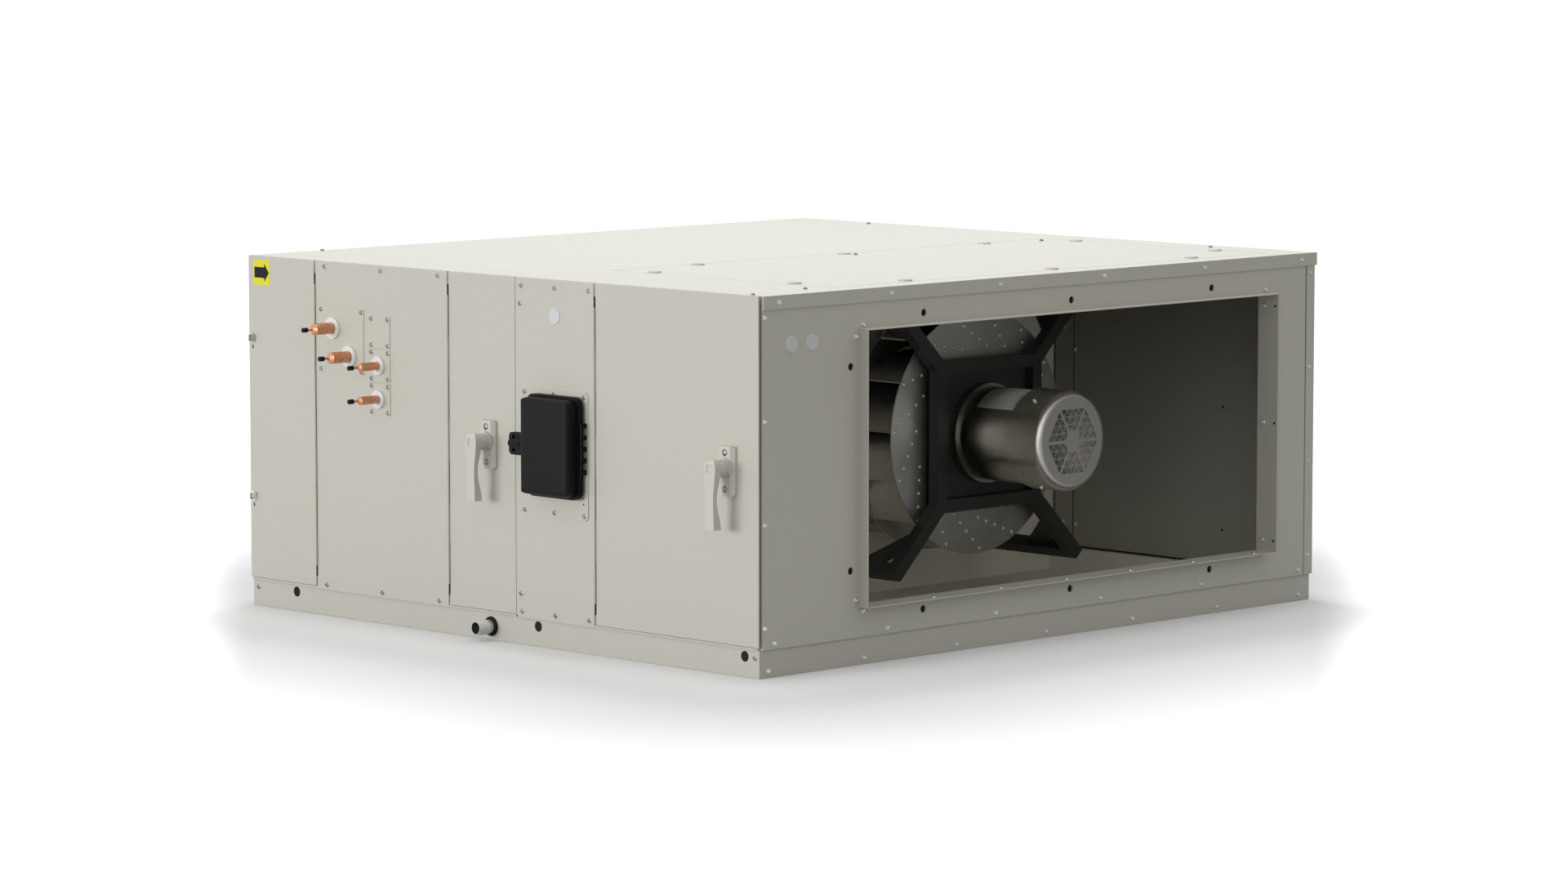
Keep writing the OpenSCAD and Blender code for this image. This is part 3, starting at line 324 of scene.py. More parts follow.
def join(*shapes):
    """Several shapes as one list of points and faces."""
    verts, faces, base = [], [], 0
    for points, polygons in shapes:
        verts.append(points)
        faces.extend(shifted(polygons, base))
        base += len(points)
    return np.concatenate(verts), faces


def piece(name, shape, body, finish, sharp=32.0):
    """Makes one mesh object at the origin, shades it smooth up to an angle, and rides it on a body."""
    verts, faces = shape
    mesh = bpy.data.meshes.new(name)
    mesh.from_pydata(np.asarray(verts, float).tolist(), [], faces)
    mesh.validate()
    mesh.polygons.foreach_set("use_smooth", np.ones(len(mesh.polygons), bool))
    mesh.set_sharp_from_angle(angle=math.radians(sharp))
    mesh.materials.append(bpy.data.materials["finish_" + finish])
    obj = bpy.data.objects.new(name, mesh)
    bpy.context.scene.collection.objects.link(obj)
    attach(obj, body)
    return obj


def panel_screw():
    """The hexagon screw at the set sizes."""
    _, sizes = settings()
    return hex_screw(sizes.screw_flange, sizes.screw_hex, sizes.screw_height)


def fasten(name, shape, spots, turn, finish="highlit_zinc_screws", body="cabinet"):
    """Copies a fastener to every spot as one piece of bare metal, by default the brighter copy that
    stands in for highlights.
    """
    piece(name, scatter(shape, spots, turn), body, finish)


def rubber(name, shape, body="cabinet"):
    """One black piece: a seal, or painted shade in a gap or at the bottom of a hole."""
    piece(name, shape, body, "rubber")


# Finishes

def add(tree, kind, **values):
    """Adds a node and sets its plain attributes."""
    node = tree.nodes.new(kind)
    for key, value in values.items():
        setattr(node, key, value)
    return node


def feed(tree, value, socket):
    """Links a socket to an input, or sets the input to a fixed value."""
    if isinstance(value, bpy.types.NodeSocket):
        tree.links.new(value, socket)
    else:
        socket.default_value = value


def number(tree, operation, *values):
    """One step of arithmetic on sockets and fixed numbers."""
    node = add(tree, "ShaderNodeMath", operation=operation)
    for value, socket in zip(values, node.inputs):
        feed(tree, value, socket)
    return node.outputs[0]


def vector(tree, operation, *values, out="Vector"):
    """One step of vector arithmetic on sockets and fixed vectors."""
    node = add(tree, "ShaderNodeVectorMath", operation=operation)
    for value, socket in zip(values, node.inputs):
        feed(tree, value, socket)
    return node.outputs[out]


def between(tree, value, start, end, low, high, shape="LINEAR"):
    """A value that goes from low to high while another goes from start to end."""
    node = add(tree, "ShaderNodeMapRange", interpolation_type=shape)
    labels = ("Value", "From Min", "From Max", "To Min", "To Max")
    for label, given in zip(labels, (value, start, end, low, high)):
        feed(tree, given, node.inputs[label])
    return node.outputs["Result"]


def smooth(tree, value, start, end, low=0.0, high=1.0):
    """The same with a soft start and end."""
    return between(tree, value, start, end, low, high, "SMOOTHSTEP")


def noise(tree, where, scale, detail, roughness=0.5):
    """Noise at a place."""
    node = add(tree, "ShaderNodeTexNoise")
    labels = ("Vector", "Scale", "Detail", "Roughness")
    for label, given in zip(labels, (where, scale, detail, roughness)):
        feed(tree, given, node.inputs[label])
    return node.outputs["Fac"]


def coordinate(tree, axis):
    """One Object coordinate."""
    split = add(tree, "ShaderNodeSeparateXYZ")
    tree.links.new(add(tree, "ShaderNodeTexCoord").outputs["Object"], split.inputs["Vector"])
    return split.outputs[axis]


def along(tree, axis, start, end):
    """A value that rises from 0 to 1 while one Object coordinate goes from start to end."""
    return smooth(tree, coordinate(tree, axis), start, end)


def new_group(name, inputs):
    """A node group with the given inputs, the place on the object, and a height and a tone as outputs."""
    group = bpy.data.node_groups.new(name, "ShaderNodeTree")
    for label, kind, value in inputs:
        socket = group.interface.new_socket(label, in_out="INPUT", socket_type=kind)
        socket.default_value = value
    for label in ("Height", "Tone"):
        group.interface.new_socket(label, in_out="OUTPUT", socket_type="NodeSocketFloat")
    given, out = add(group, "NodeGroupInput"), add(group, "NodeGroupOutput")
    return group, given.outputs, add(group, "ShaderNodeTexCoord").outputs["Object"], out.inputs


def make_grain_group():
    """Paint grain: noise at two sizes on Object coordinates, as a height and a slow tone."""
    group, given, where, out = new_group(
        "Paint grain",
        [("Grain size", "NodeSocketFloat", 700.0), ("Patch size", "NodeSocketFloat", 2.0)])
    group.links.new(noise(group, where, given["Grain size"], 2.0), out["Height"])
    group.links.new(noise(group, where, given["Patch size"], 4.0, 0.6), out["Tone"])
    return group


def make_brush_group():
    """Brush lines: noise on Object coordinates that are stretched along one axis, and a slow tone."""
    group, given, where, out = new_group(
        "Brush lines",
        [("Stretch", "NodeSocketVector", (1.0, 1.0, 1.0)), ("Size", "NodeSocketFloat", 300.0)])
    stretched = vector(group, "MULTIPLY", where, given["Stretch"])
    group.links.new(noise(group, stretched, given["Size"], 3.0), out["Height"])
    group.links.new(noise(group, where, 9.0, 3.0), out["Tone"])
    return group


def new_finish(name, roughness, metallic=0.0, **sockets):
    """A material with a Principled shader; uniform values sit on the shader's own sockets."""
    material = bpy.data.materials.new("finish_" + name)
    material.use_nodes = True
    shader = material.node_tree.nodes["Principled BSDF"]
    shader.inputs["Roughness"].default_value = roughness
    shader.inputs["Metallic"].default_value = metallic
    for key, value in sockets.items():
        shader.inputs[key.replace("_", " ")].default_value = value
    return material, material.node_tree, shader


def tint(tree, shader, factor, dark, light):
    """Base Color from a ramp between two shades."""
    ramp = add(tree, "ShaderNodeValToRGB")
    for element, place, colour in zip(ramp.color_ramp.elements, (NOISE_LOW, NOISE_HIGH), (dark, light)):
        element.position = place
        element.color = (*colour, 1.0)
    tree.links.new(factor, ramp.inputs["Fac"])
    tree.links.new(ramp.outputs["Color"], shader.inputs["Base Color"])


def vary(tree, shader, factor, low, high):
    """Roughness that follows a factor between two values."""
    tree.links.new(between(tree, factor, NOISE_LOW, NOISE_HIGH, low, high), shader.inputs["Roughness"])


def bump(tree, shader, height, strength, distance):
    """Normal from a height."""
    node = add(tree, "ShaderNodeBump")
    node.inputs["Strength"].default_value = strength
    node.inputs["Distance"].default_value = distance
    tree.links.new(height, node.inputs["Height"])
    tree.links.new(node.outputs["Normal"], shader.inputs["Normal"])


def shade(colour, factor):
    """A colour made lighter or darker."""
    return tuple(min(1.0, c * factor) for c in colour)


def place_group(tree, group, **values):
    """Places a node group and sets its inputs."""
    node = add(tree, "ShaderNodeGroup", node_tree=group)
    for key, value in values.items():
        node.inputs[key.replace("_", " ")].default_value = value
    return node


def painted(name, colour, grain, roughness, grain_size, depth, spread=0.015, gloss=0.5):
    """Paint with a fine grain, a slow change of tone and of gloss."""
    _, tree, shader = new_finish(name, roughness, Specular_IOR_Level=gloss)
    node = place_group(tree, grain, Grain_size=grain_size, Patch_size=PAINT_PATCH)
    tint(tree, shader, node.outputs["Tone"], shade(colour, 1 - spread), shade(colour, 1 + spread))
    vary(tree, shader, node.outputs["Tone"], roughness - 0.03, roughness + 0.04)
    bump(tree, shader, node.outputs["Height"], PAINT_RELIEF, depth)


def metal(name, colour, brush, roughness, stretch, size, depth, spread=0.1):
    """Bare metal with brush lines and a slow change of tone."""
    _, tree, shader = new_finish(name, roughness, 1.0)
    node = place_group(tree, brush, Stretch=stretch, Size=size)
    tint(tree, shader, node.outputs["Tone"], shade(colour, 1 - spread), shade(colour, 1 + spread))
    vary(tree, shader, node.outputs["Height"], roughness - 0.06, roughness + 0.08)
    bump(tree, shader, node.outputs["Height"], 0.25, depth)


def motor_finish(colour, brush):
    """Polished steel with painted shade: darker towards the motor's foot beside the frame plate, and
    darker on the cowl's end face.
    """
    _, tree, shader = new_finish("motor_steel", 0.3, 1.0)
    # Painted shade: the barrel darkens towards its foot by the black frame plate
    rise = along(tree, "X", WHEEL[1][0] + 30 * MM, COWL[0][0] - 10 * MM)
    # Painted shade: the cowl's end face is darkened, standing in for a dim reflection there
    cowl_face_shade_mask = along(tree, "X", COWL[1][0] + 0.2 * MM, COWL[1][0] - 1.2 * MM)
    end = number(tree, "MULTIPLY_ADD", cowl_face_shade_mask, 0.6, 0.42)
    tint(tree, shader, number(tree, "MINIMUM", end, rise), shade(colour, 0.45), colour)
    node = place_group(tree, brush, Stretch=(40.0, 1.0, 1.0), Size=30.0)
    vary(tree, shader, node.outputs["Tone"], 0.26, 0.36)
    bump(tree, shader, node.outputs["Height"], 0.06, 0.0001)


def copper_finish(colour, brush):
    """Drawn copper with turned lines: a sine along the stub, blurred by noise."""
    _, tree, shader = new_finish("copper", 0.26, 1.0)
    pitch, share = 1.5 * MM, 0.09
    lines = number(tree, "SINE", number(tree, "MULTIPLY", coordinate(tree, "Y"), 2 * math.pi / pitch))
    node = place_group(tree, brush, Stretch=(1.0, 4.0, 1.0), Size=160.0)
    mixed = number(tree, "MULTIPLY_ADD", lines, share, node.outputs["Height"])
    tint(tree, shader, mixed, shade(colour, 0.6), shade(colour, 1.12))
    vary(tree, shader, node.outputs["Height"], 0.18, 0.36)
    bump(tree, shader, mixed, 0.6, 0.0006)


def shaded_inside_finish(colour, grain):
    """Cabinet paint with painted shade on its inner side, behind a plane in y, which grows darker
    upwards.
    """
    _, tree, shader = new_finish("shaded_inside_paint", 0.46)
    # Painted shade: the wall's inner face is darker than its outside, and darker still towards the top
    rise = along(tree, "Y", WALL_Y + 1 * MM, WALL_Y + 3 * MM)
    painted_upward_shade = number(tree, "MULTIPLY_ADD", along(tree, "Z", ROOF_Z, 0.0), 0.25, 0.3)
    tint(tree, shader, number(tree, "MAXIMUM", painted_upward_shade, rise), shade(colour, 0.36), colour)
    node = place_group(tree, grain, Grain_size=900.0, Patch_size=PAINT_PATCH)
    vary(tree, shader, node.outputs["Tone"], 0.43, 0.5)
    bump(tree, shader, node.outputs["Height"], PAINT_RELIEF, 0.0003)


def galvanised_finish():
    """Zinc spangle: crystal cells with their own shade and gloss."""
    _, tree, shader = new_finish("galvanised", 0.38, 0.9)
    where = add(tree, "ShaderNodeTexCoord")
    cells = add(tree, "ShaderNodeTexVoronoi")
    cells.inputs["Scale"].default_value = 55.0
    tree.links.new(where.outputs["Object"], cells.inputs["Vector"])
    grey = add(tree, "ShaderNodeSeparateColor")
    tree.links.new(cells.outputs["Color"], grey.inputs["Color"])
    tint(tree, shader, grey.outputs["Red"], (0.42, 0.43, 0.43), (0.62, 0.63, 0.62))
    vary(tree, shader, grey.outputs["Green"], 0.3, 0.48)


class AIRUNIT_OT_finishes(bpy.types.Operator):
    """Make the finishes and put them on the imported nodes"""

    bl_idname = "airunit.finishes"
    bl_label = "Finishes"

    def execute(self, context):
        paint, _ = settings()
        grain = make_grain_group()
        brush = make_brush_group()
        # After the colour and its node group: roughness, how fine the texture is, and its depth
        painted("cabinet_paint", tuple(paint.cabinet), grain, 0.46, 900.0, 0.0003)
        painted("handle_paint", tuple(paint.handle), grain, 0.36, 500.0, 0.0002)
        painted("frame_black", tuple(paint.black), grain, 0.4, 600.0, 0.0003, 0.15, gloss=0.4)
        painted("switch_black", tuple(paint.moulding), grain, 0.4, 1600.0, 0.0004, 0.1, gloss=0.1)
        painted("ring_white", (0.78, 0.78, 0.75), grain, 0.7, 1500.0, 0.0008)
        painted("plug_grey", (0.62, 0.62, 0.63), grain, 0.5, 800.0, 0.0003)
        painted("filter_media", (0.68, 0.66, 0.6), grain, 0.9, 2500.0, 0.001, spread=0.05)
        # Black for rubber seals, and also for the painted shade in gaps and holes
        painted("rubber", (0.008, 0.008, 0.008), grain, 0.6, 1200.0, 0.0004, 0.2, gloss=0.15)
        painted("mark_yellow", (0.73, 0.68, 0.012), grain, 0.5, 900.0, 0.0002)
        metal("wheel_steel", (0.52, 0.51, 0.48), brush, 0.4, (1.0, 1.0, 12.0), 40.0, 0.0002)
        motor_finish((0.66, 0.64, 0.595), brush)
        painted("plate_foil", (0.66, 0.66, 0.63), grain, 0.5, 900.0, 0.0001)
        metal("pipe_steel", (0.55, 0.55, 0.53), brush, 0.3, (1.0, 40.0, 1.0), 30.0, 0.0002)
        copper_finish(tuple(paint.copper), brush)
        # Painted light: the screws share one zinc, in a brighter copy that stands in for highlights and a
        # darker copy that is painted shade
        metal("highlit_zinc_screws", (0.84, 0.83, 0.79), brush, 0.3, (1.0, 1.0, 1.0), 900.0, 0.0001)
        metal("shaded_zinc_screws", (0.3, 0.295, 0.28), brush, 0.34, (1.0, 1.0, 1.0), 900.0, 0.0001)
        shaded_inside_finish(tuple(paint.cabinet), grain)
        # Painted light: a lighter copy of the cabinet paint for the pan and the fan wall, where light
        # falls in through the opening
        painted("lit_pan_paint", shade(tuple(paint.cabinet), 1.65), grain, 0.4, 900.0, 0.0003)
        galvanised_finish()
        # Nodes whose finish isn't their slot's: painted shade on the far wall, painted light on the pan
        # and the fan wall
        own = {"far_panels": "shaded_inside_paint", "base_pan": "lit_pan_paint", "fan_wall": "lit_pan_paint"}
        for row in frame["record"]["subparts"]:
            node = frame["nodes"][row["node"]]
            node.data.materials.clear()
            finish = own.get(row["node"], row["material_slot"])
            node.data.materials.append(bpy.data.materials["finish_" + finish])
        return {"FINISHED"}


class AIRUNIT_OT_panel_screws(bpy.types.Operator):
    """Put the hexagon screws on the panels and the base, and the rivets on the outlet's sill"""

    bl_idname = "airunit.panel_screws"
    bl_label = "Panel screws"

    def execute(self, context):
        screw = panel_screw()

        low, high = COIL
        inset = 9.5 * MM
        coil = places(np.linspace(low[0] + 26 * MM, high[0] - 25 * MM, 3), [FRONT_Y],
                      [low[2] + inset, high[2] - inset])
        low, high = SWITCH_PANEL
        switch = np.concatenate([
            places(np.linspace(low[0] + 13 * MM, high[0] - 13 * MM, 3), [FRONT_Y],
                   [low[2] + 12 * MM, high[2] - 15 * MM]),
            places([low[0] + 9 * MM], [FRONT_Y], [low[2] + 45 * MM, high[2] - 48 * MM]),
        ])
        low, high = BACKPLATE
        inset = 9 * MM
        backplate = places(np.linspace(low[0] + 8.5 * MM, high[0] - 10 * MM, 3), [low[1]],
                           [low[2] + inset, high[2] - inset])
        low, high = PIPE_PLATES
        inset, width, height = 6 * MM, 130 * MM, 126.5 * MM
        large = places([low[0] + inset, low[0] + width - inset], [low[1]],
                       [high[2] - height + inset, high[2] - inset])
        reach, first, pitch, half = 53 * MM, 31 * MM, 64 * MM, 25 * MM
        middles = low[2] + first + pitch * np.arange(3)
        small = places([high[0] - reach, high[0] - inset], [low[1]],
                       np.add.outer(middles, half * BOTH_SIDES).ravel())
        base_ends = places([-0.6887, 0.6929], [RAILS[0][1]], [36.5 * MM])
        front = np.concatenate([coil, switch, backplate, large, small, base_ends])
        fasten("front_screws", screw, front, ON_FRONT, "shaded_zinc_screws")

        below = 12.5 * MM
        lip = places([ROOF[1][0]], np.linspace(-0.720, 0.723, 6), [ROOF_Z - below])
        sides = places([OUTLET_X], [OUTLET[0][1] + 5 * MM, FAR[1][1] - 16 * MM], END_ROWS)
        foot = places([OUTLET_X], END_LINE, [END_LINE_Z])
        base = places([RAILS[1][0]], np.linspace(-0.741, 0.728, 7), [below])
        corners = np.concatenate([self.collar_corners(12, -7), self.collar_corners(-7, 14)])
        fasten("outlet_screws", screw, np.concatenate([lip, sides, foot, base, corners]), ON_OUTLET)

        reveal_x, sill_x = 0.697, 0.718
        reveal = places([reveal_x], [COLLAR[1][1] - COLLAR_SHEET], REVEAL_ROWS)
        fasten("reveal_screws", screw, reveal, ON_FRONT)
        heads = places([sill_x], np.linspace(-0.325, 0.579, 6), [COLLAR[0][2] + COLLAR_SHEET])
        fasten("sill_rivets", dome(4.6 * MM, 2.6 * MM), heads, ON_ROOF)

        inset, ends, fan_seam = 12 * MM, 40 * MM, 38.5 * MM
        seams = np.array([FAR[0][0], HINGE_XS[0], fan_seam, FAR[1][0]])
        across = np.concatenate([seams[:-1] + inset, seams[1:] - inset])
        back = places(across, [FAR[1][1]], np.linspace(RAIL_TOP + ends, FAR[1][2] - ends, 5))
        fasten("back_screws", screw, back, ON_BACK, "shaded_zinc_screws")
        sides = places([-OUTLET_X], [INLET[0][1] + inset, INLET[1][1] - inset], END_ROWS)
        foot = places([-OUTLET_X], END_LINE, [END_LINE_Z])
        fasten("inlet_screws", screw, np.concatenate([sides, foot]), ON_INLET, "shaded_zinc_screws")
        return {"FINISHED"}

    def collar_corners(self, along, down):
        """A screw at each corner of the outlet's collar, so many mm in along y and down z."""
        middle = (COLLAR[0] + COLLAR[1]) / 2
        half = (COLLAR[1] - COLLAR[0]) / 2
        return places([OUTLET_X], middle[1] + BOTH_SIDES * (half[1] - along * MM),
                      middle[2] + BOTH_SIDES * (half[2] - down * MM))


class AIRUNIT_OT_wheel_rivets(bpy.types.Operator):
    """Put a row of rivets on the wheel's back plate for each blade

    A row runs straight from one radius and angle to another; the rows are that row turned about the axis.
    """

    bl_idname = "airunit.wheel_rivets"
    bl_label = "Wheel rivets"

    def execute(self, context):
        _, sizes = settings()
        blades, per_blade = 15, 5
        centre = (WHEEL[0] + WHEEL[1]) / 2
        reach = (WHEEL[1][1] - WHEEL[0][1]) / 2
        shares, angles = np.array([0.706, 0.961]), np.radians([-88.2, -63.6])
        near, far = shares * np.exp(1j * angles)
        turn = np.exp(2j * np.pi * np.arange(blades) / blades)[:, None]
        flat = (reach * turn * np.linspace(near, far, per_blade)).ravel()
        spots = np.stack([np.full(flat.shape, WHEEL[1][0]), centre[1] + flat.real, centre[2] + flat.imag],
                         axis=-1)
        fasten("wheel_rivets", dome(sizes.rivet, 2.2 * MM), spots, ON_OUTLET, body="fan_wheel")
        return {"FINISHED"}


class AIRUNIT_OT_roof_fasteners(bpy.types.Operator):
    """Put the flat buttons on the roof cover and the screws on the roof"""

    bl_idname = "airunit.roof_fasteners"
    bl_label = "Roof fasteners"

    def execute(self, context):
        _, sizes = settings()
        radius, height = sizes.roof_button, 3.6 * MM
        profile = np.array([[1.0, 0.0], [1.0, 0.55], [0.94, 0.9], [0.86, 1.0], [0.5, 1.0], [0.44, 0.8]])
        button = lathe(profile[:, 0] * radius, profile[:, 1] * height, 24)
        low, high = ROOF_COVER
        edge = 17 * MM
        ends = places([low[0] + 100 * MM, high[0] - 112 * MM], [low[1] + edge, high[1] - edge], [high[2]])
        sides = places([low[0] + edge, high[0] - edge], [-0.320, 0.078, 0.478], [high[2]])
        piece("roof_buttons", scatter(button, np.concatenate([ends, sides]), ON_ROOF),
              "cabinet", "cabinet_paint")

        along = np.array([-0.697, 0.675, 0.647, -0.479, 0.480, 0.121, 0.120])
        across = np.array([-0.587, -0.750, -0.590, 0.731, 0.718, 0.078, 0.615])
        spots = np.stack([along, across, np.full(along.shape, ROOF_Z)], axis=-1)
        fasten("roof_screws", panel_screw(), spots, ON_ROOF, "shaded_zinc_screws")
        return {"FINISHED"}


class AIRUNIT_OT_door_fasteners(bpy.types.Operator):
    """Put the slotted screws on the handle plates and the key slots under the latches; their recesses and
    slots are black pieces of painted shade
    """

    bl_idname = "airunit.door_fasteners"
    bl_label = "Door fasteners"

    def execute(self, context):
        head = dome(5.2 * MM, 1.8 * MM, 20)
        slot = strip(1.2 * MM, 7.6 * MM, 0.5 * MM)
        # Painted shade: a black ring under each head for its recess, and black strips for the screw slots
        ring = disc(6.2 * MM, 0.2 * MM)
        inset, raised = 12 * MM, 1.5 * MM
        for body in ("fan", "control"):
            low, high = edges(body + "_handle_plate")
            middle = (low[0] + high[0]) / 2
            ends = places([middle], [low[1]], [low[2] + inset, high[2] - inset])
            fasten(body + "_handle_screws", head, ends, ON_FRONT, "shaded_zinc_screws", body + "_door")
            cuts = scatter(slot, ends - [0.0, raised, 0.0], ON_FRONT)
            rubber(body + "_handle_slots", join(scatter(ring, ends, ON_FRONT), cuts), body + "_door")
        low, high = LATCHES
        middle, width, below = (low[0] + high[0]) / 2, high[0] - low[0], 8 * MM
        keys = places([middle], [FRONT_Y], [low[2] - below, high[2] - width - below])
        # Painted shade: the key slots are black plates
        key = plate(3 * MM, 7.5 * MM, 1.4 * MM, [(0.0, 0.0), (0.0, 0.3 * MM)])
        rubber("latch_slots", scatter(key, keys, ON_FRONT), "filter_door")
        return {"FINISHED"}


class AIRUNIT_OT_seam_strips(bpy.types.Operator):
    """Fill the front seams: paint behind the hinges, black blocks at their ends as painted shade deep in
    the seam, a sill under the doors
    """

    bl_idname = "airunit.seam_strips"
    bl_label = "Seam strips"

    def execute(self, context):
        top, clear, beside = DOOR_TOP - 1 * MM, 0.1 * MM, 3.2 * MM
        height, middle = top - RAIL_TOP, (top + RAIL_TOP) / 2
        thick = 5.5 * MM
        backs = scatter(strip(5 * MM, height, thick), places(HINGE_XS, [POST_Y], [middle]), ON_FRONT)
        front = FRONT_Y + 0.3 * MM
        fill = scatter(strip(4.8 * MM, height, POST_Y - front),
                       places([LATCH_SEAM_X + 0.4 * MM], [POST_Y], [middle]), ON_FRONT)
        gap, deep = DOOR_FOOT - RAIL_TOP - 0.8 * MM, 26 * MM
        sill = scatter(strip(2 * RAILS[1][0] - 2 * MM, gap, deep),
                       places([0.0], [front + deep], [RAIL_TOP + gap / 2]), ON_FRONT)
        lip = strip(1.2 * MM, top - DOOR_FOOT, SKIN_BACK - FRONT_Y - clear)
        middle = (top + DOOR_FOOT) / 2
        lips = scatter(lip, places(HINGE_XS - DOOR_SIDES * beside, [SKIN_BACK], [middle]), ON_FRONT)
        piece("seam_strips", join(backs, fill, sill, lips), "cabinet", "cabinet_paint")
        for body, x in zip(("filter_door", "control_door", "fan_door"), HINGE_XS + DOOR_SIDES * beside):
            piece(body + "_lip", scatter(lip, [[x, SKIN_BACK, middle]], ON_FRONT),
                  body, "cabinet_paint")

        # Painted shade: black blocks at the hinge ends stand in for the dark depth of the seam
        foot = POST_Y - thick
        depth = foot - FRONT_Y - clear
        wide, narrow, long, short = 4.6 * MM, 2.6 * MM, 13 * MM, 7 * MM
        low, high = HINGES[0][2], HINGES[1][2]
        ends = [low - long / 2, high + long / 2]
        slim = scatter(strip(narrow, long, depth), places(HINGE_XS, [foot], ends), ON_FRONT)
        ends = [low - long - short / 2, high + long + short / 2]
        broad = scatter(strip(wide, short, depth), places(HINGE_XS, [foot], ends), ON_FRONT)
        rubber("hinge_notches", join(slim, broad))
        return {"FINISHED"}


class AIRUNIT_OT_door_gaskets(bpy.types.Operator):
    """Put a foam gasket round the back of each door's skin"""

    bl_idname = "airunit.door_gaskets"
    bl_label = "Door gaskets"

    def execute(self, context):
        inset, radius, across, thickness = 4 * MM, 6 * MM, 9 * MM, 3.5 * MM
        height = DOOR_TOP - DOOR_FOOT - 2 * inset
        spans = {
            "fan_door": (HINGE_XS[2] + HALF_SEAM, FAN_DOOR[1][0]),
            "control_door": (HINGE_XS[1] + HALF_SEAM, CONTROL_DOOR[1][0]),
            "filter_door": (FILTER_DOOR[0][0], HINGE_XS[0] - HALF_SEAM),
        }
        for body, (left, right) in spans.items():
            ring = band(right - left - 2 * inset, height, radius, across, thickness)
            middle = [(left + right) / 2, SKIN_BACK, (DOOR_TOP + DOOR_FOOT) / 2]
            rubber(body + "_gasket", scatter(ring, [middle], ON_BACK), body)
        return {"FINISHED"}


class AIRUNIT_OT_hole_backs(bpy.types.Operator):
    """Put black discs in the bolt holes and black dots where small holes are pierced, as painted shade
    for the holes' depth
    """

    bl_idname = "airunit.hole_backs"
    bl_label = "Hole backs"

    def execute(self, context):
        middle = (COLLAR[0] + COLLAR[1]) / 2
        deep = OUTLET_X - 4 * MM
        pitch, rise, reach, side_rise = 0.401, 0.273, 0.5915, 0.186
        rows = places([deep], middle[1] + pitch * np.arange(-1, 2), middle[2] + rise * BOTH_SIDES)
        sides = places([deep], middle[1] + reach * BOTH_SIDES, middle[2] + side_rise * BOTH_SIDES)
        bolts = scatter(disc(6.9 * MM, 1 * MM), np.concatenate([rows, sides]), ON_OUTLET)
        feet, level, sunk = [-0.574, 0.120, 0.667], 37.5 * MM, 2.5 * MM
        rail = disc(9.9 * MM, 1 * MM)
        front = scatter(rail, places(feet, [RAILS[0][1] + sunk], [level]), ON_FRONT)
        back = scatter(rail, places(feet, [RAILS[1][1] - sunk], [level]), ON_BACK)
        dot, spot = disc(1.7 * MM, 0.2 * MM, 12), disc(2.6 * MM, 0.2 * MM, 12)
        plate_x, wall_x, reveal_x = 0.2515, 0.4965, 0.725
        plate_dots = scatter(dot, places([plate_x], [BACKPLATE[0][1]], [277 * MM, 288 * MM]), ON_FRONT)
        wall = scatter(spot, places([wall_x], [WALL_Y], [121 * MM, 368 * MM]), ON_FRONT)
        reveal = scatter(spot, places([reveal_x], [COLLAR[1][1] - COLLAR_SHEET], REVEAL_ROWS), ON_FRONT)
        # Painted shade: black discs and dots stand in for the dark inside of the holes
        rubber("hole_backs", join(bolts, front, back, plate_dots, wall, reveal))
        return {"FINISHED"}


class AIRUNIT_OT_inside_trim(bpy.types.Operator):
    """Put the joint lines, a painted shadow line along the wall's foot, and screws on the far wall inside
    the fan section
    """

    bl_idname = "airunit.inside_trim"
    bl_label = "Inside trim"

    def execute(self, context):
        low, high = RAIL_TOP, FAR[1][2] - 26 * MM
        joint_xs, start = [0.044, 0.096], 0.042
        upright = strip(1.8 * MM, high - low, 0.4 * MM)
        joints = scatter(upright, places(joint_xs, [WALL_Y], [(low + high) / 2]), ON_FRONT)
        # Painted shadow: a black strip along the wall's foot where it meets the ledge
        reach = OUTLET[0][0] - start
        foot = scatter(strip(reach, 3 * MM, 0.6 * MM),
                       places([start + reach / 2], [WALL_Y], [low + 2.5 * MM]), ON_FRONT)
        rubber("wall_joints", join(joints, foot))

        along, up = np.array([0.103, 0.105, 0.069, 0.071]), np.array([0.457, 0.099, 0.502, 0.103])
        spots = np.stack([along, np.full(along.shape, WALL_Y), up], axis=-1)
        fasten("wall_screws", panel_screw(), spots, ON_FRONT)
        return {"FINISHED"}


class AIRUNIT_OT_motor_trim(bpy.types.Operator):
    """Put a bare plate on the motor's barrel and screws on its cowl

    The plate is a patch of a cylinder: x along the axis, y = r cos a, z = r sin a.
    """

    bl_idname = "airunit.motor_trim"
    bl_label = "Motor trim"

    def execute(self, context):
        axis = (WHEEL[0] + WHEEL[1]) / 2
        radius, thickness = 91.4 * MM, 0.6 * MM
        angles, lengths = np.radians(np.linspace(140.5, 82.5, 13)), np.linspace(0.362, 0.460, 3)
        angle, x = np.meshgrid(angles, lengths, indexing="ij")
        patch = np.stack([x, axis[1] + radius * np.cos(angle), axis[2] + radius * np.sin(angle)], axis=-1)
        label = piece("motor_plate", (patch.reshape(-1, 3), grid_faces(*x.shape)),
                      "cabinet", "plate_foil")
        label.modifiers.new("thickness", "SOLIDIFY").thickness = thickness

        screw, screw_x, first = panel_screw(), 0.503, 126.7
        along = np.array([1.0, 0.0, 0.0])
        shapes = []
        for turn in np.radians(first + 120.0 * np.arange(3)):
            out = np.array([0.0, math.cos(turn), math.sin(turn)])
            spot = np.array([screw_x, axis[1], axis[2]]) + (COWL[1][1] - axis[1]) * out
            shapes.append(scatter(screw, [spot], np.column_stack([along, np.cross(out, along), out])))
        piece("cowl_screws", join(*shapes), "cabinet", "highlit_zinc_screws")
        return {"FINISHED"}


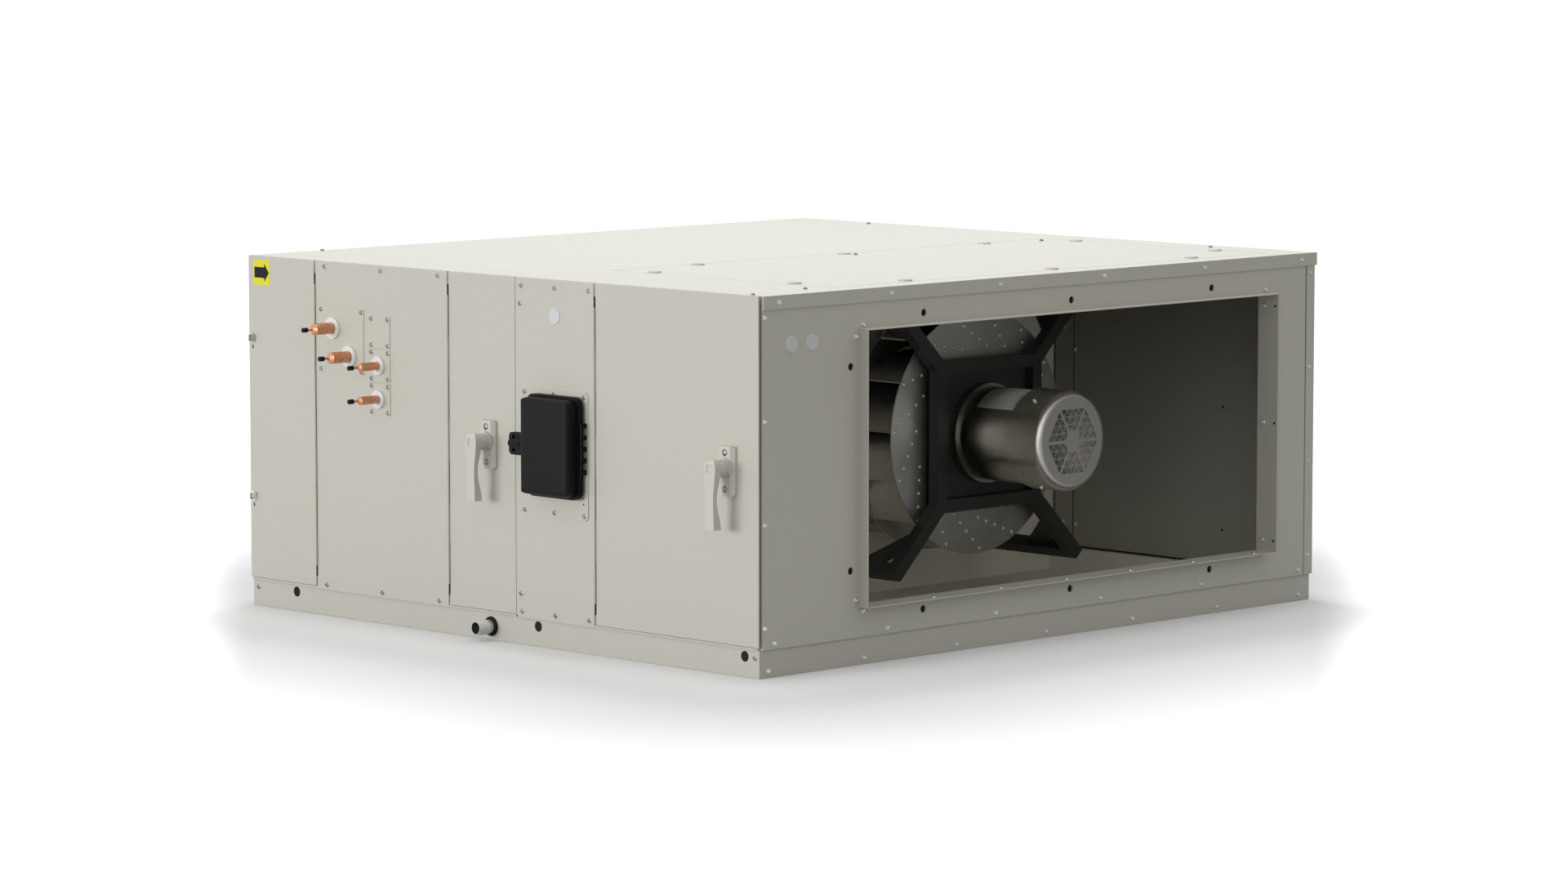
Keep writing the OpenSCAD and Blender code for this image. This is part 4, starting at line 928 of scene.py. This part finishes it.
class AIRUNIT_OT_drain_fitting(bpy.types.Operator):
    """Put a rubber ring and a pipe thread on the drain

    The thread is one surface: r = R + h tri(z / pitch - a / 2 pi), closed along a smaller radius inside.
    """

    bl_idname = "airunit.drain_fitting"
    bl_label = "Drain fitting"

    def execute(self, context):
        middle = (DRAIN[0] + DRAIN[1]) / 2
        spot = [middle[0], RAILS[0][1], middle[2]]
        radii = np.array([18.5, 18.5, 17.6, 15.2, 13.6, 13.6]) * MM
        levels = np.array([0.0, 2.0, 3.4, 4.2, 3.6, 0.0]) * MM
        ring = ring_loop(turned(radii, levels, 36))
        rubber("drain_ring", scatter(ring, [spot], ON_FRONT))

        bore, pitch, depth, turns = 13.35 * MM, 1.9 * MM, 0.75 * MM, 32
        angle = np.linspace(0.0, 2 * np.pi, turns, endpoint=False)
        start, end, rows = 15 * MM, 39.4 * MM, 74
        z = np.linspace(start, end, rows)[:, None]
        wave = np.abs(2 * np.mod(z / pitch - angle / (2 * np.pi), 1.0) - 1.0)
        inner = np.full((1, turns), bore - depth)
        r = np.concatenate([inner, bore + depth * wave, inner])
        z = np.concatenate([z[:1], z, z[-1:]]) + 0.0 * angle
        thread = ring_loop(np.stack([r * np.cos(angle), r * np.sin(angle), z], axis=-1))
        piece("drain_thread", scatter(thread, [spot], ON_FRONT), "cabinet", "pipe_steel",
              sharp=60.0)
        return {"FINISHED"}


class AIRUNIT_OT_flow_mark(bpy.types.Operator):
    """Put the air direction mark on the filter door: a plain arrow on a yellow field"""

    bl_idname = "airunit.flow_mark"
    bl_label = "Flow mark"

    def execute(self, context):
        side, thickness = 49 * MM, 0.4 * MM
        centre = np.array([FILTER_DOOR[0][0] + 39.5 * MM, FRONT_Y, DOOR_TOP - 31.5 * MM])
        field = plate(side, side, 3 * MM, [(0.0, 0.0), (0.0, thickness)])
        piece("flow_field", scatter(field, [centre], ON_FRONT), "filter_door", "mark_yellow")
        tail, neck, tip, half, wide = -21.5 * MM, 8 * MM, 22 * MM, 10.4 * MM, 18 * MM
        points = np.array([[tail, -half], [neck, -half], [neck, -wide], [tip, 0.0],
                           [neck, wide], [neck, half], [tail, half]])
        levels = np.array([thickness, 1.5 * thickness])
        rings = np.stack([np.column_stack([points, np.full(len(points), z)]) for z in levels])
        rubber("flow_arrow", scatter(ring_stack(rings), [centre], ON_FRONT), "filter_door")
        return {"FINISHED"}


class AIRUNIT_OT_studio(bpy.types.Operator):
    """Make the floor, the lamps, the sky and the camera"""

    bl_idname = "airunit.studio"
    bl_label = "Studio"

    def execute(self, context):
        scene = context.scene
        studio = scene.air_unit_studio
        scene.view_settings.view_transform = "Standard"

        reach, drop = 150.0, 0.5 * MM
        mesh = bpy.data.meshes.new("floor")
        corners = reach * np.array([[-1, -1, 0], [1, -1, 0], [1, 1, 0], [-1, 1, 0]], float)
        corners[:, 2] = -drop
        mesh.from_pydata(corners.tolist(), [], [[0, 1, 2, 3]])
        floor = bpy.data.objects.new("floor", mesh)
        scene.collection.objects.link(floor)
        mesh.materials.append(self.floor_finish())

        self.sky(scene, studio.sky)
        self.lamp(scene, "key lamp", at=(-1.6, -9.2, 1.2), towards=(0.0, -0.7, 0.35),
                  size=(4.0, 1.8), power=studio.key)
        top = self.lamp(scene, "top lamp", at=(-0.3, 0.3, 4.2), towards=(-0.3, 0.31, 0.7),
                        size=(2.0, 2.0), power=studio.top)
        top.color = (0.95, 0.97, 1.0)

        camera = bpy.data.cameras.new("camera")
        camera.lens = studio.lens
        camera.clip_end = 400.0
        holder = bpy.data.objects.new("camera", camera)
        holder.location = studio.camera_at
        holder.rotation_euler = (math.pi / 2 + studio.pitch, 0.0, studio.yaw - math.pi / 2)
        scene.collection.objects.link(holder)
        scene.camera = holder
        return {"FINISHED"}

    def sky(self, scene, strength):
        """An even sky that is white to the eye and dims towards one side in reflections."""
        world = bpy.data.worlds.new("studio sky")
        scene.world = world
        world.use_nodes = True
        tree = world.node_tree
        back = tree.nodes["Background"]
        back.inputs["Color"].default_value = (1.0, 1.0, 1.0, 1.0)
        path = add(tree, "ShaderNodeLightPath").outputs
        where = add(tree, "ShaderNodeTexCoord").outputs["Generated"]
        side = vector(tree, "DOT_PRODUCT", where, DIM_SIDE, out="Value")
        start, end, bright, dull = 0.1, 0.95, 1.2, 0.25
        dim = smooth(tree, side, start, end, bright, dull)
        mirror = between(tree, path["Is Glossy Ray"], 0.0, 1.0, strength, dim)
        level = between(tree, path["Is Camera Ray"], 0.0, 1.0, mirror, 1.0)
        tree.links.new(level, back.inputs["Strength"])

    def lamp(self, scene, name, at, towards, size, power):
        """A soft lamp that faces a point."""
        light = bpy.data.lights.new(name, "AREA")
        light.energy = power
        light.shape = "RECTANGLE"
        light.size, light.size_y = size
        holder = bpy.data.objects.new(name, light)
        aim = np.array(towards) - np.array(at)
        flat = math.hypot(aim[0], aim[1])
        holder.location = at
        holder.rotation_euler = (math.atan2(flat, -aim[2]), 0.0, math.atan2(-aim[0], aim[1]))
        holder.visible_camera = False
        scene.collection.objects.link(holder)
        return light

    def floor_finish(self):
        """White floor to the eye, which keeps the shadow, and a greyer one to bounced light.

        To the eye its colour is a painted shadow laid over the lamps' shadow: it is least white a little
        way from the base, and grows whiter with the distance from it and beside the unit: past the unit's
        width, measured across the view.
        """
        material, tree, shader = new_finish("studio floor", 0.9, Specular_IOR_Level=0.0)
        path = add(tree, "ShaderNodeLightPath").outputs
        place = add(tree, "ShaderNodeTexCoord").outputs["Object"]
        eye = add(tree, "ShaderNodeNewGeometry").outputs["Incoming"]
        half = (*RAILS[1][:2], 0.0)
        bounced, by_base, least = 0.36, 0.92, 0.72

        side = vector(tree, "DOT_PRODUCT", place, DIM_SIDE, out="Value")
        bright = smooth(tree, side, 0.3, 1.5, 1.0, 0.0)
        mirror = number(tree, "MULTIPLY", path["Is Glossy Ray"], bright)
        seen = number(tree, "MAXIMUM", path["Is Camera Ray"], mirror)

        outside = vector(tree, "SUBTRACT", vector(tree, "ABSOLUTE", place), half)
        outside = vector(tree, "MAXIMUM", outside, (0.0, 0.0, 0.0))
        away = vector(tree, "LENGTH", outside, out="Value")
        across = vector(tree, "NORMALIZE", vector(tree, "CROSS_PRODUCT", eye, (0.0, 0.0, 1.0)))
        offset = number(tree, "ABSOLUTE", vector(tree, "DOT_PRODUCT", place, across, out="Value"))
        width = vector(tree, "DOT_PRODUCT", vector(tree, "ABSOLUTE", across), half, out="Value")
        beside = number(tree, "SUBTRACT", offset, width)

        # Painted shadow: the floor is darkest a little way from the base and whitens outwards and beside
        # the unit
        # Each rise: what it follows, where it starts and ends in metres, and what it adds
        pale = smooth(tree, away, 0.05, 0.28, by_base, least)
        for value, start, end, rise in ((away, 0.28, 1.0, 0.33), (away, 1.0, 2.4, 0.57),
                                        (beside, 0.0, 0.17, 0.6)):
            pale = number(tree, "ADD", pale, smooth(tree, value, start, end, 0.0, rise))
        tree.links.new(between(tree, seen, 0.0, 1.0, bounced, pale), shader.inputs["Base Color"])
        return material


OPERATORS = (
    AIRUNIT_OT_finishes,
    AIRUNIT_OT_panel_screws,
    AIRUNIT_OT_wheel_rivets,
    AIRUNIT_OT_roof_fasteners,
    AIRUNIT_OT_door_fasteners,
    AIRUNIT_OT_seam_strips,
    AIRUNIT_OT_door_gaskets,
    AIRUNIT_OT_hole_backs,
    AIRUNIT_OT_inside_trim,
    AIRUNIT_OT_motor_trim,
    AIRUNIT_OT_drain_fitting,
    AIRUNIT_OT_flow_mark,
    AIRUNIT_OT_studio,
)


class AIRUNIT_PT_panel(bpy.types.Panel):
    """Lists the steps that dress the unit"""

    bl_idname = "AIRUNIT_PT_panel"
    bl_label = "Air Handling Unit"
    bl_space_type = "VIEW_3D"
    bl_region_type = "UI"
    bl_category = "Air Unit"

    def draw(self, context):
        for operator in OPERATORS:
            self.layout.operator(operator.bl_idname)


GROUPS = {
    "air_unit_paint": AirUnitPaint,
    "air_unit_sizes": AirUnitSizes,
    "air_unit_studio": AirUnitStudio,
}


def register():
    for name, group in GROUPS.items():
        bpy.utils.register_class(group)
        setattr(bpy.types.Scene, name, bpy.props.PointerProperty(type=group))
    for item in (*OPERATORS, AIRUNIT_PT_panel):
        bpy.utils.register_class(item)


def unregister():
    for item in reversed((*OPERATORS, AIRUNIT_PT_panel)):
        bpy.utils.unregister_class(item)
    for name, group in reversed(GROUPS.items()):
        delattr(bpy.types.Scene, name)
        bpy.utils.unregister_class(group)


def main():
    register()
    for operator in OPERATORS:
        family, step = operator.bl_idname.split(".")
        getattr(getattr(bpy.ops, family), step)()


if __name__ == "__main__":
    main()
